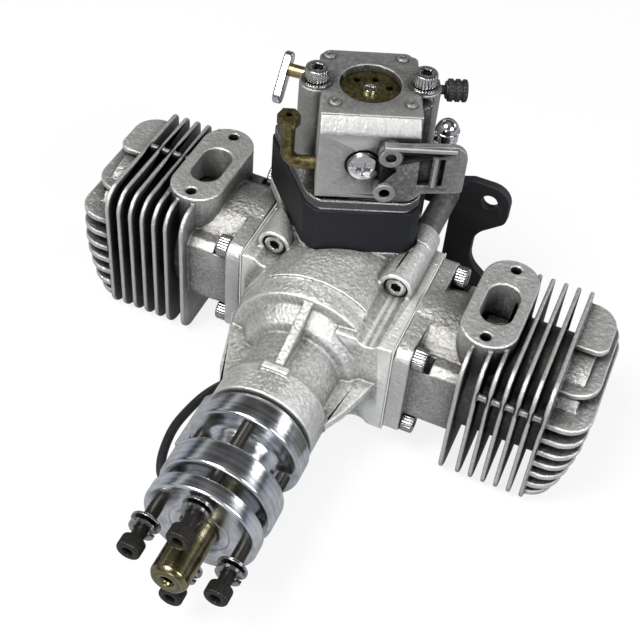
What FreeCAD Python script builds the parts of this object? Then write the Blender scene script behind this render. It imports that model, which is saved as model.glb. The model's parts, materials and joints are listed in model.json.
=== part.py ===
import FreeCAD, Part
import Sketcher
import math
import os

# Flat twin two-stroke aircraft engine, about 40 cc, in millimetres.
# Working frame: crank axis along Y, propeller end toward -Y, right cylinder toward +X, +Z up,
# with the middle between the two cylinders at Y 0. Every piece is then moved back by
# mount_distance, so that the finished origin is the crank axis at the rear face of the mount plate.

SIZES = (
    ("mount_distance", 43.0, "middle of the engine ahead of the mount face"),
    ("fit_gap", 0.05, "radial clearance of shanks, shafts and seats"),
    ("free_gap", 0.3, "clearance between pieces that must not touch"),
    ("tapping_spare", 0.3, "tapped hole beyond the screw in it"),
    ("screw_radius", 2.0, "M4 shank"),
    ("screw_head_radius", 3.5, "M4 cap head"),
    ("screw_head_height", 4.0, "M4 cap head"),
    ("socket_radius", 1.73, "hexagon socket, 3 mm across flats"),
    ("socket_depth", 2.2, "hexagon socket"),
    ("bore_radius", 16.0, "cylinder bore"),
    ("piston_gap", 0.04, "piston running clearance"),
    ("crank_radius", 12.5, "half the stroke"),
    ("rod_length", 45.5, "connecting rod between centres"),
    ("stagger", 8.04, "each cylinder off the middle plane along the crank"),
    ("crown_height", 14.0, "wrist pin to piston crown"),
    ("piston_length", 24.0, "crown to skirt end"),
    ("piston_wall", 2.4, "skirt wall"),
    ("crown_wall", 4.0, "crown thickness"),
    ("wrist_radius", 4.0, "wrist pin"),
    ("wrist_bore", 2.2, "hole through the wrist pin"),
    ("wrist_length", 28.0, "wrist pin"),
    ("crankpin_radius", 6.0, "crankpin"),
    ("rod_width", 7.8, "connecting rod along the crank"),
    ("rod_shank", 8.0, "connecting rod shank height"),
    ("rod_web", 5.0, "connecting rod shank thickness"),
    ("big_end_radius", 9.0, "connecting rod big end"),
    ("small_end_radius", 6.3, "connecting rod small end"),
    ("centre_web", 7.4, "thickness of the centre crank web"),
    ("web_clearance", 0.6, "crank webs off the chamber ends"),
    ("web_radius", 21.5, "crank webs"),
    ("pin_plane_gap", 8.7, "space between crank webs for rod and crankpin"),
    ("chamber_radius", 22.7, "crank chamber"),
    ("chamber_half", 18.6, "crank chamber half length"),
    ("barrel_radius", 25.6, "crankcase barrel"),
    ("barrel_front", 21.5, "barrel ahead of the middle"),
    ("split_plane", 8.5, "joint of the two crankcase halves behind the middle"),
    ("deck", 28.0, "cylinder deck off the crank axis"),
    ("deck_inner", 10.0, "inner side of the deck blocks"),
    ("deck_height", 18.0, "half height of the deck blocks"),
    ("deck_half", 23.0, "half length of the deck and base flange"),
    ("deck_bore_radius", 16.5, "opening through the deck"),
    ("deck_passage_radius", 15.0, "inner part of the opening, beside the crank chamber"),
    ("deck_bore_start", 17.5, "inner end of the deck opening"),
    ("deck_bore_step", 22.3, "where the opening widens for the piston skirt"),
    ("gasket_thickness", 0.4, "base gasket"),
    ("base_flange", 5.1, "thickness of the cylinder base flange"),
    ("base_screw_inset", 4.4, "base screws inside the ends of the flange"),
    ("base_thread", 5.1, "base screw in the crankcase"),
    ("skirt_end", 48.7, "inner face of the first fin"),
    ("barrel_wall", 3.0, "cylinder barrel around the bore"),
    ("transfer_half", 20.3, "half width over the transfer ports"),
    ("transfer_height", 13.0, "half height of the transfer housing"),
    ("transfer_slot", 5.0, "half height of the transfer passages"),
    ("transfer_reach", 18.0, "transfer passages off the cylinder axis"),
    ("fin_thickness", 1.3, "cooling fins"),
    ("fin_first_gap", 5.48, "first to second fin"),
    ("fin_pitch", 4.106, "later fins"),
    ("fin_half", 23.8, "half length of a fin"),
    ("fin_top", 23.3, "fin top above the axis"),
    ("fin_bottom", 28.0, "fin bottom below the axis"),
    ("fin_corner", 7.0, "fin corner radius"),
    ("fin_rear_corner", 2.5, "fin corner radius at the upper rear"),
    ("head_core_radius", 18.0, "head behind the fins"),
    ("head_core_end", 82.0, "end of the head core off the crank axis"),
    ("head_fin_thickness", 2.0, "lying fins of the head"),
    ("head_fin_corner", 8.0, "outer corner radius of the lying fins"),
    ("squish_end", 72.7, "top of the bore off the crank axis"),
    ("dome_depth", 4.4, "combustion chamber depth"),
    ("dome_rim_radius", 13.0, "combustion chamber at the bore"),
    ("dome_top_radius", 7.0, "combustion chamber at its end"),
    ("plug_angle", 75.0, "spark plug axis from the cylinder axis toward the rear"),
    ("plug_start_x", 75.0, "start of the plug axis off the crank axis"),
    ("plug_start_y", 2.0, "start of the plug axis behind the cylinder axis"),
    ("plug_seat", 20.0, "plug seat along the plug axis"),
    ("plug_thread_radius", 4.5, "tapped hole for an M10 plug"),
    ("plug_thread_start", 8.0, "inner end of the tapped plug hole along the plug axis"),
    ("plug_relief", 0.4, "plug hole wider than its thread at the chamber"),
    ("plug_boss_radius", 7.0, "plug boss"),
    ("plug_well_radius", 8.6, "room for the plug socket"),
    ("exhaust_x", 51.3, "exhaust flange centre off the crank axis"),
    ("exhaust_y", 3.7, "exhaust flange centre behind the cylinder axis"),
    ("exhaust_top", 25.1, "exhaust flange face"),
    ("exhaust_half_width", 8.7, "exhaust flange end radius"),
    ("exhaust_stud", 14.95, "exhaust holes off the flange centre"),
    ("exhaust_hole_radius", 1.65, "tapped exhaust holes, M4"),
    ("exhaust_hole_depth", 9.0, "tapped exhaust holes"),
    ("port_half_width", 5.0, "exhaust port across"),
    ("port_front", 9.3, "exhaust port ahead of the flange centre"),
    ("port_rear", 7.7, "exhaust port behind the flange centre"),
    ("lug_x", 20.0, "case screw axis sideways"),
    ("lug_inset", 5.6, "case screw axis inside the top of the barrel"),
    ("lug_radius", 5.3, "case screw lug"),
    ("lug_front", 9.0, "front of the lugs ahead of the middle"),
    ("lug_rear", 17.0, "rear of the lugs behind the middle"),
    ("counterbore_radius", 3.9, "case screw counterbore"),
    ("counterbore_depth", 4.5, "case screw counterbore"),
    ("case_screw_reach", 11.0, "case screw in the standoff"),
    ("standoff_radius", 3.9, "standoff"),
    ("plate_front", 40.0, "front face of the mount plate behind the middle"),
    ("plate_screw_length", 13.0, "countersunk plate screw"),
    ("plate_screw_head", 3.9, "countersunk plate screw head radius"),
    ("plate_screw_cone", 2.3, "countersunk plate screw head height"),
    ("eye_x", 33.8, "mount eyes sideways"),
    ("eye_z", 21.25, "mount eyes above and below the crank"),
    ("eye_radius", 6.75, "mount eyes"),
    ("eye_hole_radius", 2.7, "mount eye holes"),
    ("plate_waist", 31.0, "half width of the plate at its waist"),
    ("plate_window_x", 21.5, "half width of the opening in the plate"),
    ("plate_window_z", 13.5, "half height of the opening in the plate"),
    ("shaft_radius", 7.5, "crankshaft journal"),
    ("nose_shaft_radius", 6.0, "crankshaft in the nose"),
    ("bearing_radius", 16.0, "main bearing outside"),
    ("bearing_width", 9.0, "main bearing"),
    ("bearing_start", 19.0, "main bearings off the middle"),
    ("seal_radius", 12.0, "shaft seal outside"),
    ("seal_front", 38.0, "front of the shaft seal"),
    ("seal_width", 5.0, "shaft seal"),
    ("nose_bore_radius", 9.0, "passage in the nose"),
    ("nose_bearing_radius", 14.0, "nose bearing outside"),
    ("nose_bearing_back", 52.0, "back of the nose bearing"),
    ("nose_bearing_width", 8.0, "nose bearing"),
    ("nose_end", 60.0, "front of the crankcase"),
    ("nose_radius", 14.3, "nose tube"),
    ("collar_back", 49.5, "back of the nose collar"),
    ("collar_radius", 16.5, "nose collar"),
    ("hub_radius", 17.2, "propeller driver"),
    ("hub_back", 60.5, "back of the propeller driver"),
    ("hub_waist_back", 70.0, "back of the driver waist"),
    ("hub_waist_front", 79.5, "front of the driver waist"),
    ("hub_waist_radius", 10.5, "driver waist"),
    ("hub_front", 88.2, "propeller face of the driver"),
    ("shaft_front", 76.0, "front end of the crankshaft"),
    ("spigot_radius", 5.5, "centre spigot"),
    ("spigot_front", 115.0, "tip of the centre spigot"),
    ("spigot_shank_radius", 3.0, "threaded shank of the spigot"),
    ("spigot_shank_length", 10.0, "threaded shank of the spigot"),
    ("prop_washer_back", 92.0, "back of the propeller washer"),
    ("prop_washer_front", 97.0, "front of the propeller washer"),
    ("prop_washer_radius", 17.0, "propeller washer"),
    ("prop_bolt_circle", 13.15, "propeller bolt circle radius"),
    ("prop_bolt_angle", -4.0, "first propeller bolt from +X toward +Z"),
    ("prop_bolt_length", 38.5, "propeller bolt under its head"),
    ("washer_radius", 4.4, "flat washer"),
    ("washer_thickness", 0.8, "flat washer"),
    ("spring_washer_radius", 3.9, "spring washer"),
    ("spring_washer_height", 1.6, "spring washer"),
    ("magnet_radius", 2.5, "sensor magnet"),
    ("magnet_depth", 3.0, "sensor magnet"),
    ("magnet_y", 65.3, "sensor magnet ahead of the middle"),
    ("sensor_angle", 226.0, "sensor around the crank from +X toward +Z"),
    ("sensor_seat", 17.7, "sensor off the crank axis"),
    ("sensor_depth", 5.6, "sensor housing away from the crank"),
    ("sensor_width", 21.0, "sensor housing across"),
    ("sensor_front", 70.5, "front of the sensor housing"),
    ("sensor_back", 50.5, "back of the sensor housing"),
    ("sensor_screw_y", 55.0, "sensor screw"),
    ("lead_radius", 1.45, "sensor lead"),
    ("lead_exit_angle", 228.0, "lead out of the sensor, around the crank"),
    ("coil_radius", 16.0, "outside of the coiled lead"),
    ("coil_x", -18.0, "middle of the coiled lead"),
    ("coil_y", 69.0, "middle of the coiled lead behind the middle"),
    ("plug_width", 7.6, "plug on the lead"),
    ("plug_height", 6.4, "plug on the lead"),
    ("plug_length", 14.0, "plug on the lead"),
    ("tail_length", 13.0, "lead between coil and plug"),
    ("carb_x", -3.0, "carburettor axis sideways"),
    ("carb_y", 15.5, "carburettor axis behind the middle"),
    ("carb_turn", 23.9, "carburettor turned about the vertical"),
    ("spacer_bottom", 24.0, "intake spacer"),
    ("spacer_top", 40.0, "intake spacer"),
    ("spacer_corner", 3.0, "intake spacer corners"),
    ("pedestal_bottom", 13.0, "pedestal under the spacer"),
    ("intake_half_u", 10.5, "intake passage"),
    ("intake_half_v", 10.0, "intake passage"),
    ("shim_thickness", 0.8, "bright plates under the carburettor"),
    ("plate_inset", 0.6, "plates inside the outline of the spacer"),
    ("reed_flange", 2.2, "reed block flange"),
    ("reed_depth", 12.5, "reed block below its flange"),
    ("petal_thickness", 0.3, "reed petals"),
    ("carb_bottom", 43.8, "carburettor body"),
    ("carb_top", 71.5, "carburettor body"),
    ("carb_half_u", 14.5, "carburettor body"),
    ("carb_front_v", 15.0, "carburettor body ahead of its bore"),
    ("carb_rear_v", 14.0, "carburettor body behind its bore"),
    ("carb_screw_u", 15.5, "carburettor screws off the bore"),
    ("carb_ear_radius", 5.0, "carburettor ears"),
    ("carb_screw_end", 23.0, "lower end of the carburettor screws"),
    ("carb_bore_radius", 9.0, "air intake bore"),
    ("carb_throat_radius", 7.5, "venturi throat"),
    ("spindle_turn", -20.0, "choke and throttle spindles from the screw line"),
    ("spindle_radius", 1.9, "choke and throttle spindles"),
    ("choke_z", 68.6, "choke spindle"),
    ("throttle_z", 50.5, "throttle spindle"),
    ("choke_lever_turn", 135.0, "choke lever from straight up toward the front"),
    ("disc_radius", 8.8, "choke disc"),
    ("throttle_disc_radius", 8.8, "throttle disc"),
    ("disc_thickness", 0.8, "choke and throttle discs"),
    ("pump_cover_front", 19.0, "front of the pump cover"),
    ("pump_cover_chamfer", 3.4, "top edge of the pump cover"),
    ("pump_screw_u", -1.5, "pump cover screw"),
    ("pump_screw_z", 57.0, "pump cover screw"),
    ("pump_screw_radius", 4.6, "pump cover screw head"),
    ("metering_cover_rear", 17.6, "rear of the metering cover"),
    ("bracket_front", 23.0, "linkage bracket front face"),
    ("bracket_thickness", 2.0, "linkage bracket"),
    ("idle_v", 4.5, "idle screw behind the bore"),
    ("idle_z", 67.2, "idle screw"),
    ("elbow_v", -10.0, "fuel elbow"),
    ("elbow_z", 49.6, "fuel elbow inlet"),
    ("elbow_radius", 2.0, "fuel elbow tube"),
    ("elbow_reach", 23.0, "fuel elbow off the carburettor axis"),
    ("elbow_top", 66.5, "top of the fuel elbow"),
)

doc = FreeCAD.newDocument("flat_aircraft_engine")
sheet = doc.addObject("Spreadsheet::Sheet", "sizes")


class Size:
    """A length that knows its number and the sheet expression it comes from."""

    def __init__(self, number, text=None):
        self.number = float(number)
        self.text = text if text is not None else "(%.6f)" % number

    def __add__(self, other):
        other = as_size(other)
        return Size(self.number + other.number, "(%s + %s)" % (self.text, other.text))

    def __sub__(self, other):
        other = as_size(other)
        return Size(self.number - other.number, "(%s - %s)" % (self.text, other.text))

    def __mul__(self, other):
        other = as_size(other)
        return Size(self.number * other.number, "(%s * %s)" % (self.text, other.text))

    def __truediv__(self, other):
        other = as_size(other)
        return Size(self.number / other.number, "(%s / %s)" % (self.text, other.text))

    def __neg__(self):
        return Size(-self.number, "(0 - %s)" % self.text)

    def __radd__(self, other):
        return as_size(other) + self

    def __rsub__(self, other):
        return as_size(other) - self

    def __rmul__(self, other):
        return as_size(other) * self


def as_size(value):
    return value if isinstance(value, Size) else Size(value)


def cosine(angle):
    angle = as_size(angle)
    return Size(math.cos(math.radians(angle.number)), "cos(%s)" % angle.text)


def sine(angle):
    angle = as_size(angle)
    return Size(math.sin(math.radians(angle.number)), "sin(%s)" % angle.text)


class Sizes:
    """The sheet's cells by name."""


s = Sizes()
for row, (alias, number, meaning) in enumerate(SIZES, 1):
    sheet.set("A%d" % row, meaning)
    sheet.set("B%d" % row, str(number))
    sheet.setAlias("B%d" % row, alias)
    setattr(s, alias, Size(number, "sizes." + alias))
doc.recompute()

# Places that follow other sizes
s.base_screw_along = s.deck_half - s.base_screw_inset
s.base_screw_height = s.deck_height - s.screw_head_radius
s.lug_z = s.barrel_radius - s.lug_inset

nodes = []
names_used = {}

TURNS = {
    "X": FreeCAD.Rotation(FreeCAD.Vector(0, 1, 0), 90),
    "Y": FreeCAD.Rotation(FreeCAD.Vector(1, 0, 0), -90),
    "Z": FreeCAD.Rotation(),
}
PLANES = {"XY": "XY_Plane", "XZ": "XZ_Plane", "YZ": "YZ_Plane"}
TOLERANCE = 0.001


def fresh(kind, name):
    """A new document object with a number added where the name repeats."""
    names_used[name] = names_used.get(name, 0) + 1
    count = names_used[name]
    return doc.addObject(kind, name if count == 1 else "%s_%d" % (name, count))


def bind(obj, prop, value):
    obj.setExpression(prop, as_size(value).text)


def put(obj, x, y, z, rotation=None):
    """Place an object at a point that follows the sheet."""
    x, y, z = as_size(x), as_size(y), as_size(z)
    turn = rotation if rotation is not None else FreeCAD.Rotation()
    obj.Placement = FreeCAD.Placement(FreeCAD.Vector(x.number, y.number, z.number), turn)
    bind(obj, "Placement.Base.x", x)
    bind(obj, "Placement.Base.y", y)
    bind(obj, "Placement.Base.z", z)
    return obj


def ordered(first, last):
    first, last = as_size(first), as_size(last)
    return (first, last) if first.number < last.number else (last, first)


def along(axis, position, across):
    """The X, Y, Z of a point given along an axis and by its two other coordinates in order."""
    if axis == "X":
        return position, across[0], across[1]
    if axis == "Y":
        return across[0], position, across[1]
    return across[0], across[1], position


def rod(name, axis, radius, first, last, across=(0, 0)):
    """A cylinder along X, Y or Z between two positions."""
    first, last = ordered(first, last)
    obj = fresh("Part::Cylinder", name)
    obj.Radius = as_size(radius).number
    obj.Height = (last - first).number
    bind(obj, "Radius", radius)
    bind(obj, "Height", last - first)
    x, y, z = along(axis, first, across)
    return put(obj, x, y, z, TURNS[axis])


def cone(name, axis, first_radius, last_radius, first, last, across=(0, 0)):
    """A cone along an axis; first must be the lower position."""
    obj = fresh("Part::Cone", name)
    first, last = as_size(first), as_size(last)
    if last.number < first.number:
        first, last = last, first
        first_radius, last_radius = last_radius, first_radius
    obj.Radius1 = as_size(first_radius).number
    obj.Radius2 = as_size(last_radius).number
    obj.Height = (last - first).number
    bind(obj, "Radius1", first_radius)
    bind(obj, "Radius2", last_radius)
    bind(obj, "Height", last - first)
    x, y, z = along(axis, first, across)
    return put(obj, x, y, z, TURNS[axis])


def ball(name, radius, x, y, z):
    obj = fresh("Part::Sphere", name)
    obj.Radius = as_size(radius).number
    bind(obj, "Radius", radius)
    return put(obj, x, y, z)


def ring(name, axis, major, minor, position, across=(0, 0)):
    obj = fresh("Part::Torus", name)
    obj.Radius1 = as_size(major).number
    obj.Radius2 = as_size(minor).number
    bind(obj, "Radius1", major)
    bind(obj, "Radius2", minor)
    x, y, z = along(axis, as_size(position), across)
    return put(obj, x, y, z, TURNS[axis])


def block(name, x_pair, y_pair, z_pair):
    obj = fresh("Part::Box", name)
    pairs = [ordered(*pair) for pair in (x_pair, y_pair, z_pair)]
    for prop, (low, high) in zip(("Length", "Width", "Height"), pairs):
        setattr(obj, prop, (high - low).number)
        bind(obj, prop, high - low)
    return put(obj, pairs[0][0], pairs[1][0], pairs[2][0])


def joined(name, shapes):
    if len(shapes) == 1:
        return shapes[0]
    obj = fresh("Part::MultiFuse", name)
    obj.Shapes = shapes
    return obj


def carved(name, base, tools):
    obj = fresh("Part::Cut", name)
    obj.Base = base
    obj.Tool = joined(name + "_tools", tools)
    return obj


def common(name, base, tool):
    obj = fresh("Part::Common", name)
    obj.Base = base
    obj.Tool = tool
    return obj


def group(name, shapes):
    """Separate identical solids held in one piece of the list."""
    obj = fresh("Part::Compound", name)
    obj.Links = shapes
    return obj


def new_sketch(name, plane, offset):
    """A body with a sketch on one of its own origin planes, moved along that plane's normal."""
    body = fresh("PartDesign::Body", name)
    sketch = body.newObject("Sketcher::SketchObject", name + "_sketch")
    origin = [f for f in body.Origin.OriginFeatures if f.Role == PLANES[plane]][0]
    sketch.AttachmentSupport = [(origin, "")]
    sketch.MapMode = "FlatFace"
    offset = as_size(offset)
    sketch.AttachmentOffset = FreeCAD.Placement(FreeCAD.Vector(0, 0, offset.number), FreeCAD.Rotation())
    sketch.setExpression("AttachmentOffset.Base.z", offset.text)
    return body, sketch


def pin_point(sketch, geometry, point, x, y):
    """Hold a sketch point at coordinates that follow the sheet."""
    for axis_line, kind, value in ((-2, "DistanceX", as_size(x)), (-1, "DistanceY", as_size(y))):
        if abs(value.number) < TOLERANCE and "sizes" not in value.text:
            sketch.addConstraint(Sketcher.Constraint("PointOnObject", geometry, point, axis_line))
        else:
            index = sketch.addConstraint(Sketcher.Constraint(kind, -1, 1, geometry, point, value.number))
            sketch.setExpression("Constraints[%d]" % index, value.text)


def corner_arc(before, corner, after, radius):
    """Centre, radius and tangent points of the arc that rounds a corner."""
    first = (before - corner).normalize()
    second = (after - corner).normalize()
    half = math.acos(max(-1.0, min(1.0, first.dot(second)))) / 2
    reach = radius / math.tan(half)
    middle = (first + second).normalize()
    centre = corner + middle * (radius / math.sin(half))
    return centre, corner + first * reach, corner + second * reach


def draw_outline(sketch, points):
    """A closed outline of straight sides; a third value in a point rounds its corner."""
    count = len(points)
    corners = [FreeCAD.Vector(as_size(p[0]).number, as_size(p[1]).number, 0) for p in points]
    radii = [as_size(p[2]) if len(p) > 2 else None for p in points]
    starts, ends, arcs = [None] * count, [None] * count, [None] * count
    for i in range(count):
        before, corner, after = corners[i - 1], corners[i], corners[(i + 1) % count]
        if radii[i] is None:
            ends[i], starts[i] = corner, corner
        else:
            centre, ends[i], starts[i] = corner_arc(before, corner, after, radii[i].number)
            turn = (corner - before).cross(after - corner).z
            a0 = math.atan2(ends[i].y - centre.y, ends[i].x - centre.x)
            a1 = math.atan2(starts[i].y - centre.y, starts[i].x - centre.x)
            circle = Part.Circle(centre, FreeCAD.Vector(0, 0, 1), radii[i].number)
            arcs[i] = Part.ArcOfCircle(circle, a0, a1) if turn > 0 else Part.ArcOfCircle(circle, a1, a0)
            arcs[i] = (arcs[i], turn > 0)
    lines = []
    for i in range(count):
        segment = Part.LineSegment(starts[i], ends[(i + 1) % count])
        lines.append(sketch.addGeometry(segment, False))
    for i in range(count):
        before, after = lines[i - 1], lines[i]
        if radii[i] is None:
            sketch.addConstraint(Sketcher.Constraint("Coincident", before, 2, after, 1))
            pin_point(sketch, after, 1, points[i][0], points[i][1])
            continue
        arc, forward = arcs[i]
        index = sketch.addGeometry(arc, False)
        first, last = (1, 2) if forward else (2, 1)
        sketch.addConstraint(Sketcher.Constraint("Tangent", before, 2, index, first))
        sketch.addConstraint(Sketcher.Constraint("Tangent", index, last, after, 1))
        bound = sketch.addConstraint(Sketcher.Constraint("Radius", index, radii[i].number))
        sketch.setExpression("Constraints[%d]" % bound, radii[i].text)
        corner = sketch.addGeometry(Part.Point(corners[i]), True)
        pin_point(sketch, corner, 1, points[i][0], points[i][1])
        sketch.addConstraint(Sketcher.Constraint("PointOnObject", corner, 1, before))
        sketch.addConstraint(Sketcher.Constraint("PointOnObject", corner, 1, after))


def slab(name, plane, points, first, last):
    """A straight-sided solid: an outline on a plane, drawn out between two positions."""
    first, last = ordered(first, last)
    offset = -last if plane == "XZ" else first
    body, sketch = new_sketch(name, plane, offset)
    draw_outline(sketch, points)
    pad = body.newObject("PartDesign::Pad", name + "_pad")
    pad.Profile = sketch
    pad.Length = (last - first).number
    bind(pad, "Length", last - first)
    body.Tip = pad
    return body


def turned(name, axis, points):
    """A solid of revolution; points are (position along the axis, radius)."""
    plane, line = {"X": ("XZ", "H_Axis"), "Y": ("YZ", "H_Axis"), "Z": ("XZ", "V_Axis")}[axis]
    body, sketch = new_sketch(name, plane, 0)
    if axis == "Z":
        points = [(radius, position) for position, radius in points]
    draw_outline(sketch, points)
    revolution = body.newObject("PartDesign::Revolution", name + "_turn")
    revolution.Profile = sketch
    revolution.ReferenceAxis = (sketch, [line])
    revolution.Angle = 360
    body.Tip = revolution
    return body


def node(name, obj, x=0, y=0, z=0, rotation=None):
    """Name a finished piece and stand it in the engine's frame."""
    if not obj.Placement.isIdentity():
        obj = group(name + "_seated", [obj])
    obj.Label = name
    put(obj, x, as_size(y) - s.mount_distance, z, rotation)
    nodes.append(obj)
    return obj


def carb_node(name, obj):
    """A piece given in the carburettor's own turned axes."""
    obj = node(name, obj, s.carb_x, s.carb_y, 0,
               FreeCAD.Rotation(FreeCAD.Vector(0, 0, 1), s.carb_turn.number))
    bind(obj, "Placement.Rotation.Angle", s.carb_turn)
    return obj


def turn_about(obj, axis, angle, x=0, y=0, z=0):
    """Wrap an object in a compound that is turned by an angle of the sheet about a point."""
    angle = as_size(angle)
    holder = group(obj.Name + "_turned", [obj])
    put(holder, x, y, z, FreeCAD.Rotation(axis, angle.number))
    bind(holder, "Placement.Rotation.Angle", angle)
    return holder


def cap_screw(name, axis, head_face, sign, length, across):
    """A cap-head screw; head_face is the seat, and the shank runs the other way from sign."""
    head_face = as_size(head_face)
    top = head_face + s.screw_head_height * sign
    head = rod(name + "_head", axis, s.screw_head_radius, head_face, top, across)
    shank = rod(name + "_shank", axis, s.screw_radius, head_face, head_face - as_size(length) * sign,
                across)
    socket = rod(name + "_socket", axis, s.socket_radius, top - s.socket_depth * sign, top, across)
    return carved(name, joined(name + "_blank", [head, shank]), [socket])


def washer(name, axis, outer, first, last, across):
    disc = rod(name + "_disc", axis, outer, first, last, across)
    hole = rod(name + "_hole", axis, s.screw_radius + s.fit_gap * 2, first, last, across)
    return carved(name, disc, [hole])


def quarter_points(x, z):
    return [(x * i, z * k) for i in (1, -1) for k in (1, -1)]


# Mount plate with four eyes, and the screws and standoffs that carry the crankcase on it
def build_mounting():
    plate_back = s.mount_distance
    half = [
        (s.eye_x + s.eye_radius, s.eye_z + s.eye_radius, s.eye_radius - 0.1),
        (s.eye_x + s.eye_radius, s.eye_z - s.eye_radius, 4.0),
        (s.plate_waist, s.eye_z - s.eye_radius * 2.2, 9.0),
        (s.plate_waist, -s.eye_z + s.eye_radius * 2.2, 9.0),
        (s.eye_x + s.eye_radius, -s.eye_z + s.eye_radius, 4.0),
        (s.eye_x + s.eye_radius, -s.eye_z - s.eye_radius, s.eye_radius - 0.1),
        (s.eye_x - s.eye_radius, -s.eye_z - s.eye_radius, 3.0),
        (s.lug_x, -s.lug_z - s.lug_radius, 3.0),
    ]
    mirrored = [(-p[0], p[1], p[2]) for p in reversed(half[:-2])]
    lower_left = [(-half[-1][0], half[-1][1], half[-1][2]), (-half[-2][0], half[-2][1], half[-2][2])]
    top = [
        (-s.eye_x + s.eye_radius, s.eye_z + s.eye_radius, 3.0),
        (-s.lug_x, s.lug_z + s.lug_radius, 3.0),
        (s.lug_x, s.lug_z + s.lug_radius, 3.0),
        (s.eye_x - s.eye_radius, s.eye_z + s.eye_radius, 3.0),
    ]
    sheet_metal = slab("plate_sheet", "XZ", half + lower_left + mirrored + top, s.plate_front, plate_back)
    window = [(s.plate_window_x * i, s.plate_window_z * k, 4.0) for i,
              k in ((1, -1), (1, 1), (-1, 1), (-1, -1))]
    holes = [slab("plate_window", "XZ", window, s.plate_front - 1, plate_back + 1)]
    for i in (1, -1):
        for z in (s.eye_z, -s.eye_z):
            across = (s.eye_x * i, z)
            holes.append(rod("eye_hole", "Y", s.eye_hole_radius, s.plate_front - 1, plate_back + 1,
                             across))
    clear = s.screw_radius + s.fit_gap
    standoffs, screws, case_screws = [], [], []
    for across in quarter_points(s.lug_x, s.lug_z):
        holes.append(rod("plate_screw_hole", "Y", clear, s.plate_front - 1, plate_back + 1, across))
        cone_start = plate_back - s.plate_screw_cone
        head_radius = s.plate_screw_head
        holes.append(cone("plate_sink", "Y", clear, head_radius + s.fit_gap, cone_start, plate_back,
                          across))
        head = cone("sunk_head", "Y", s.screw_radius, head_radius, cone_start, plate_back, across)
        shank = rod("sunk_shank", "Y", s.screw_radius, plate_back - s.plate_screw_length, cone_start,
                    across)
        socket = rod("sunk_socket", "Y", s.socket_radius, plate_back - 1.8, plate_back, across)
        screws.append(carved("plate_screw", joined("plate_screw_blank", [head, shank]), [socket]))
        tube = rod("standoff_rod", "Y", s.standoff_radius, s.lug_rear, s.plate_front, across)
        front_depth = s.case_screw_reach + 1
        front_hole = rod("standoff_front_hole", "Y", clear, s.lug_rear, s.lug_rear + front_depth, across)
        rear_start = plate_back - s.plate_screw_length - 0.5
        rear_hole = rod("standoff_rear_hole", "Y", clear, rear_start, s.plate_front, across)
        standoffs.append(carved("standoff", tube, [front_hole, rear_hole]))
        seat = s.counterbore_depth - s.lug_front
        length = s.lug_rear + s.case_screw_reach - seat
        case_screws.append(cap_screw("case_screw", "Y", seat, -1, length, across))
    node("mount_plate", carved("plate", sheet_metal, holes))
    node("plate_screws", group("plate_screw_set", screws))
    node("standoffs", group("standoff_set", standoffs))
    node("case_screws", group("case_screw_set", case_screws))


def spacer_outline(grow):
    """The intake spacer from above, in carburettor axes, grown outward by a clearance."""
    corner = s.spacer_corner
    return [
        (-14 - grow, -20.5 - grow, corner),
        (14 + grow, -20.5 - grow, corner),
        (17.5 + grow, -16.8 - grow, corner),
        (17.5 + grow, -8 - grow, corner),
        (21 + grow, -1 - grow, corner),
        (21 + grow, 15 + grow, corner),
        (-27 - grow, 15 + grow, 1.5),
        (-27 - grow, 12 - grow, 1.2),
        (-22 - grow, -4 - grow, 12),
        (-17.5 - grow, -17 - grow, corner),
    ]


def in_carb_axes(obj):
    """Turn a shape given in carburettor axes into the working frame."""
    return turn_about(obj, FreeCAD.Vector(0, 0, 1), s.carb_turn, s.carb_x, s.carb_y, 0)


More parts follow.
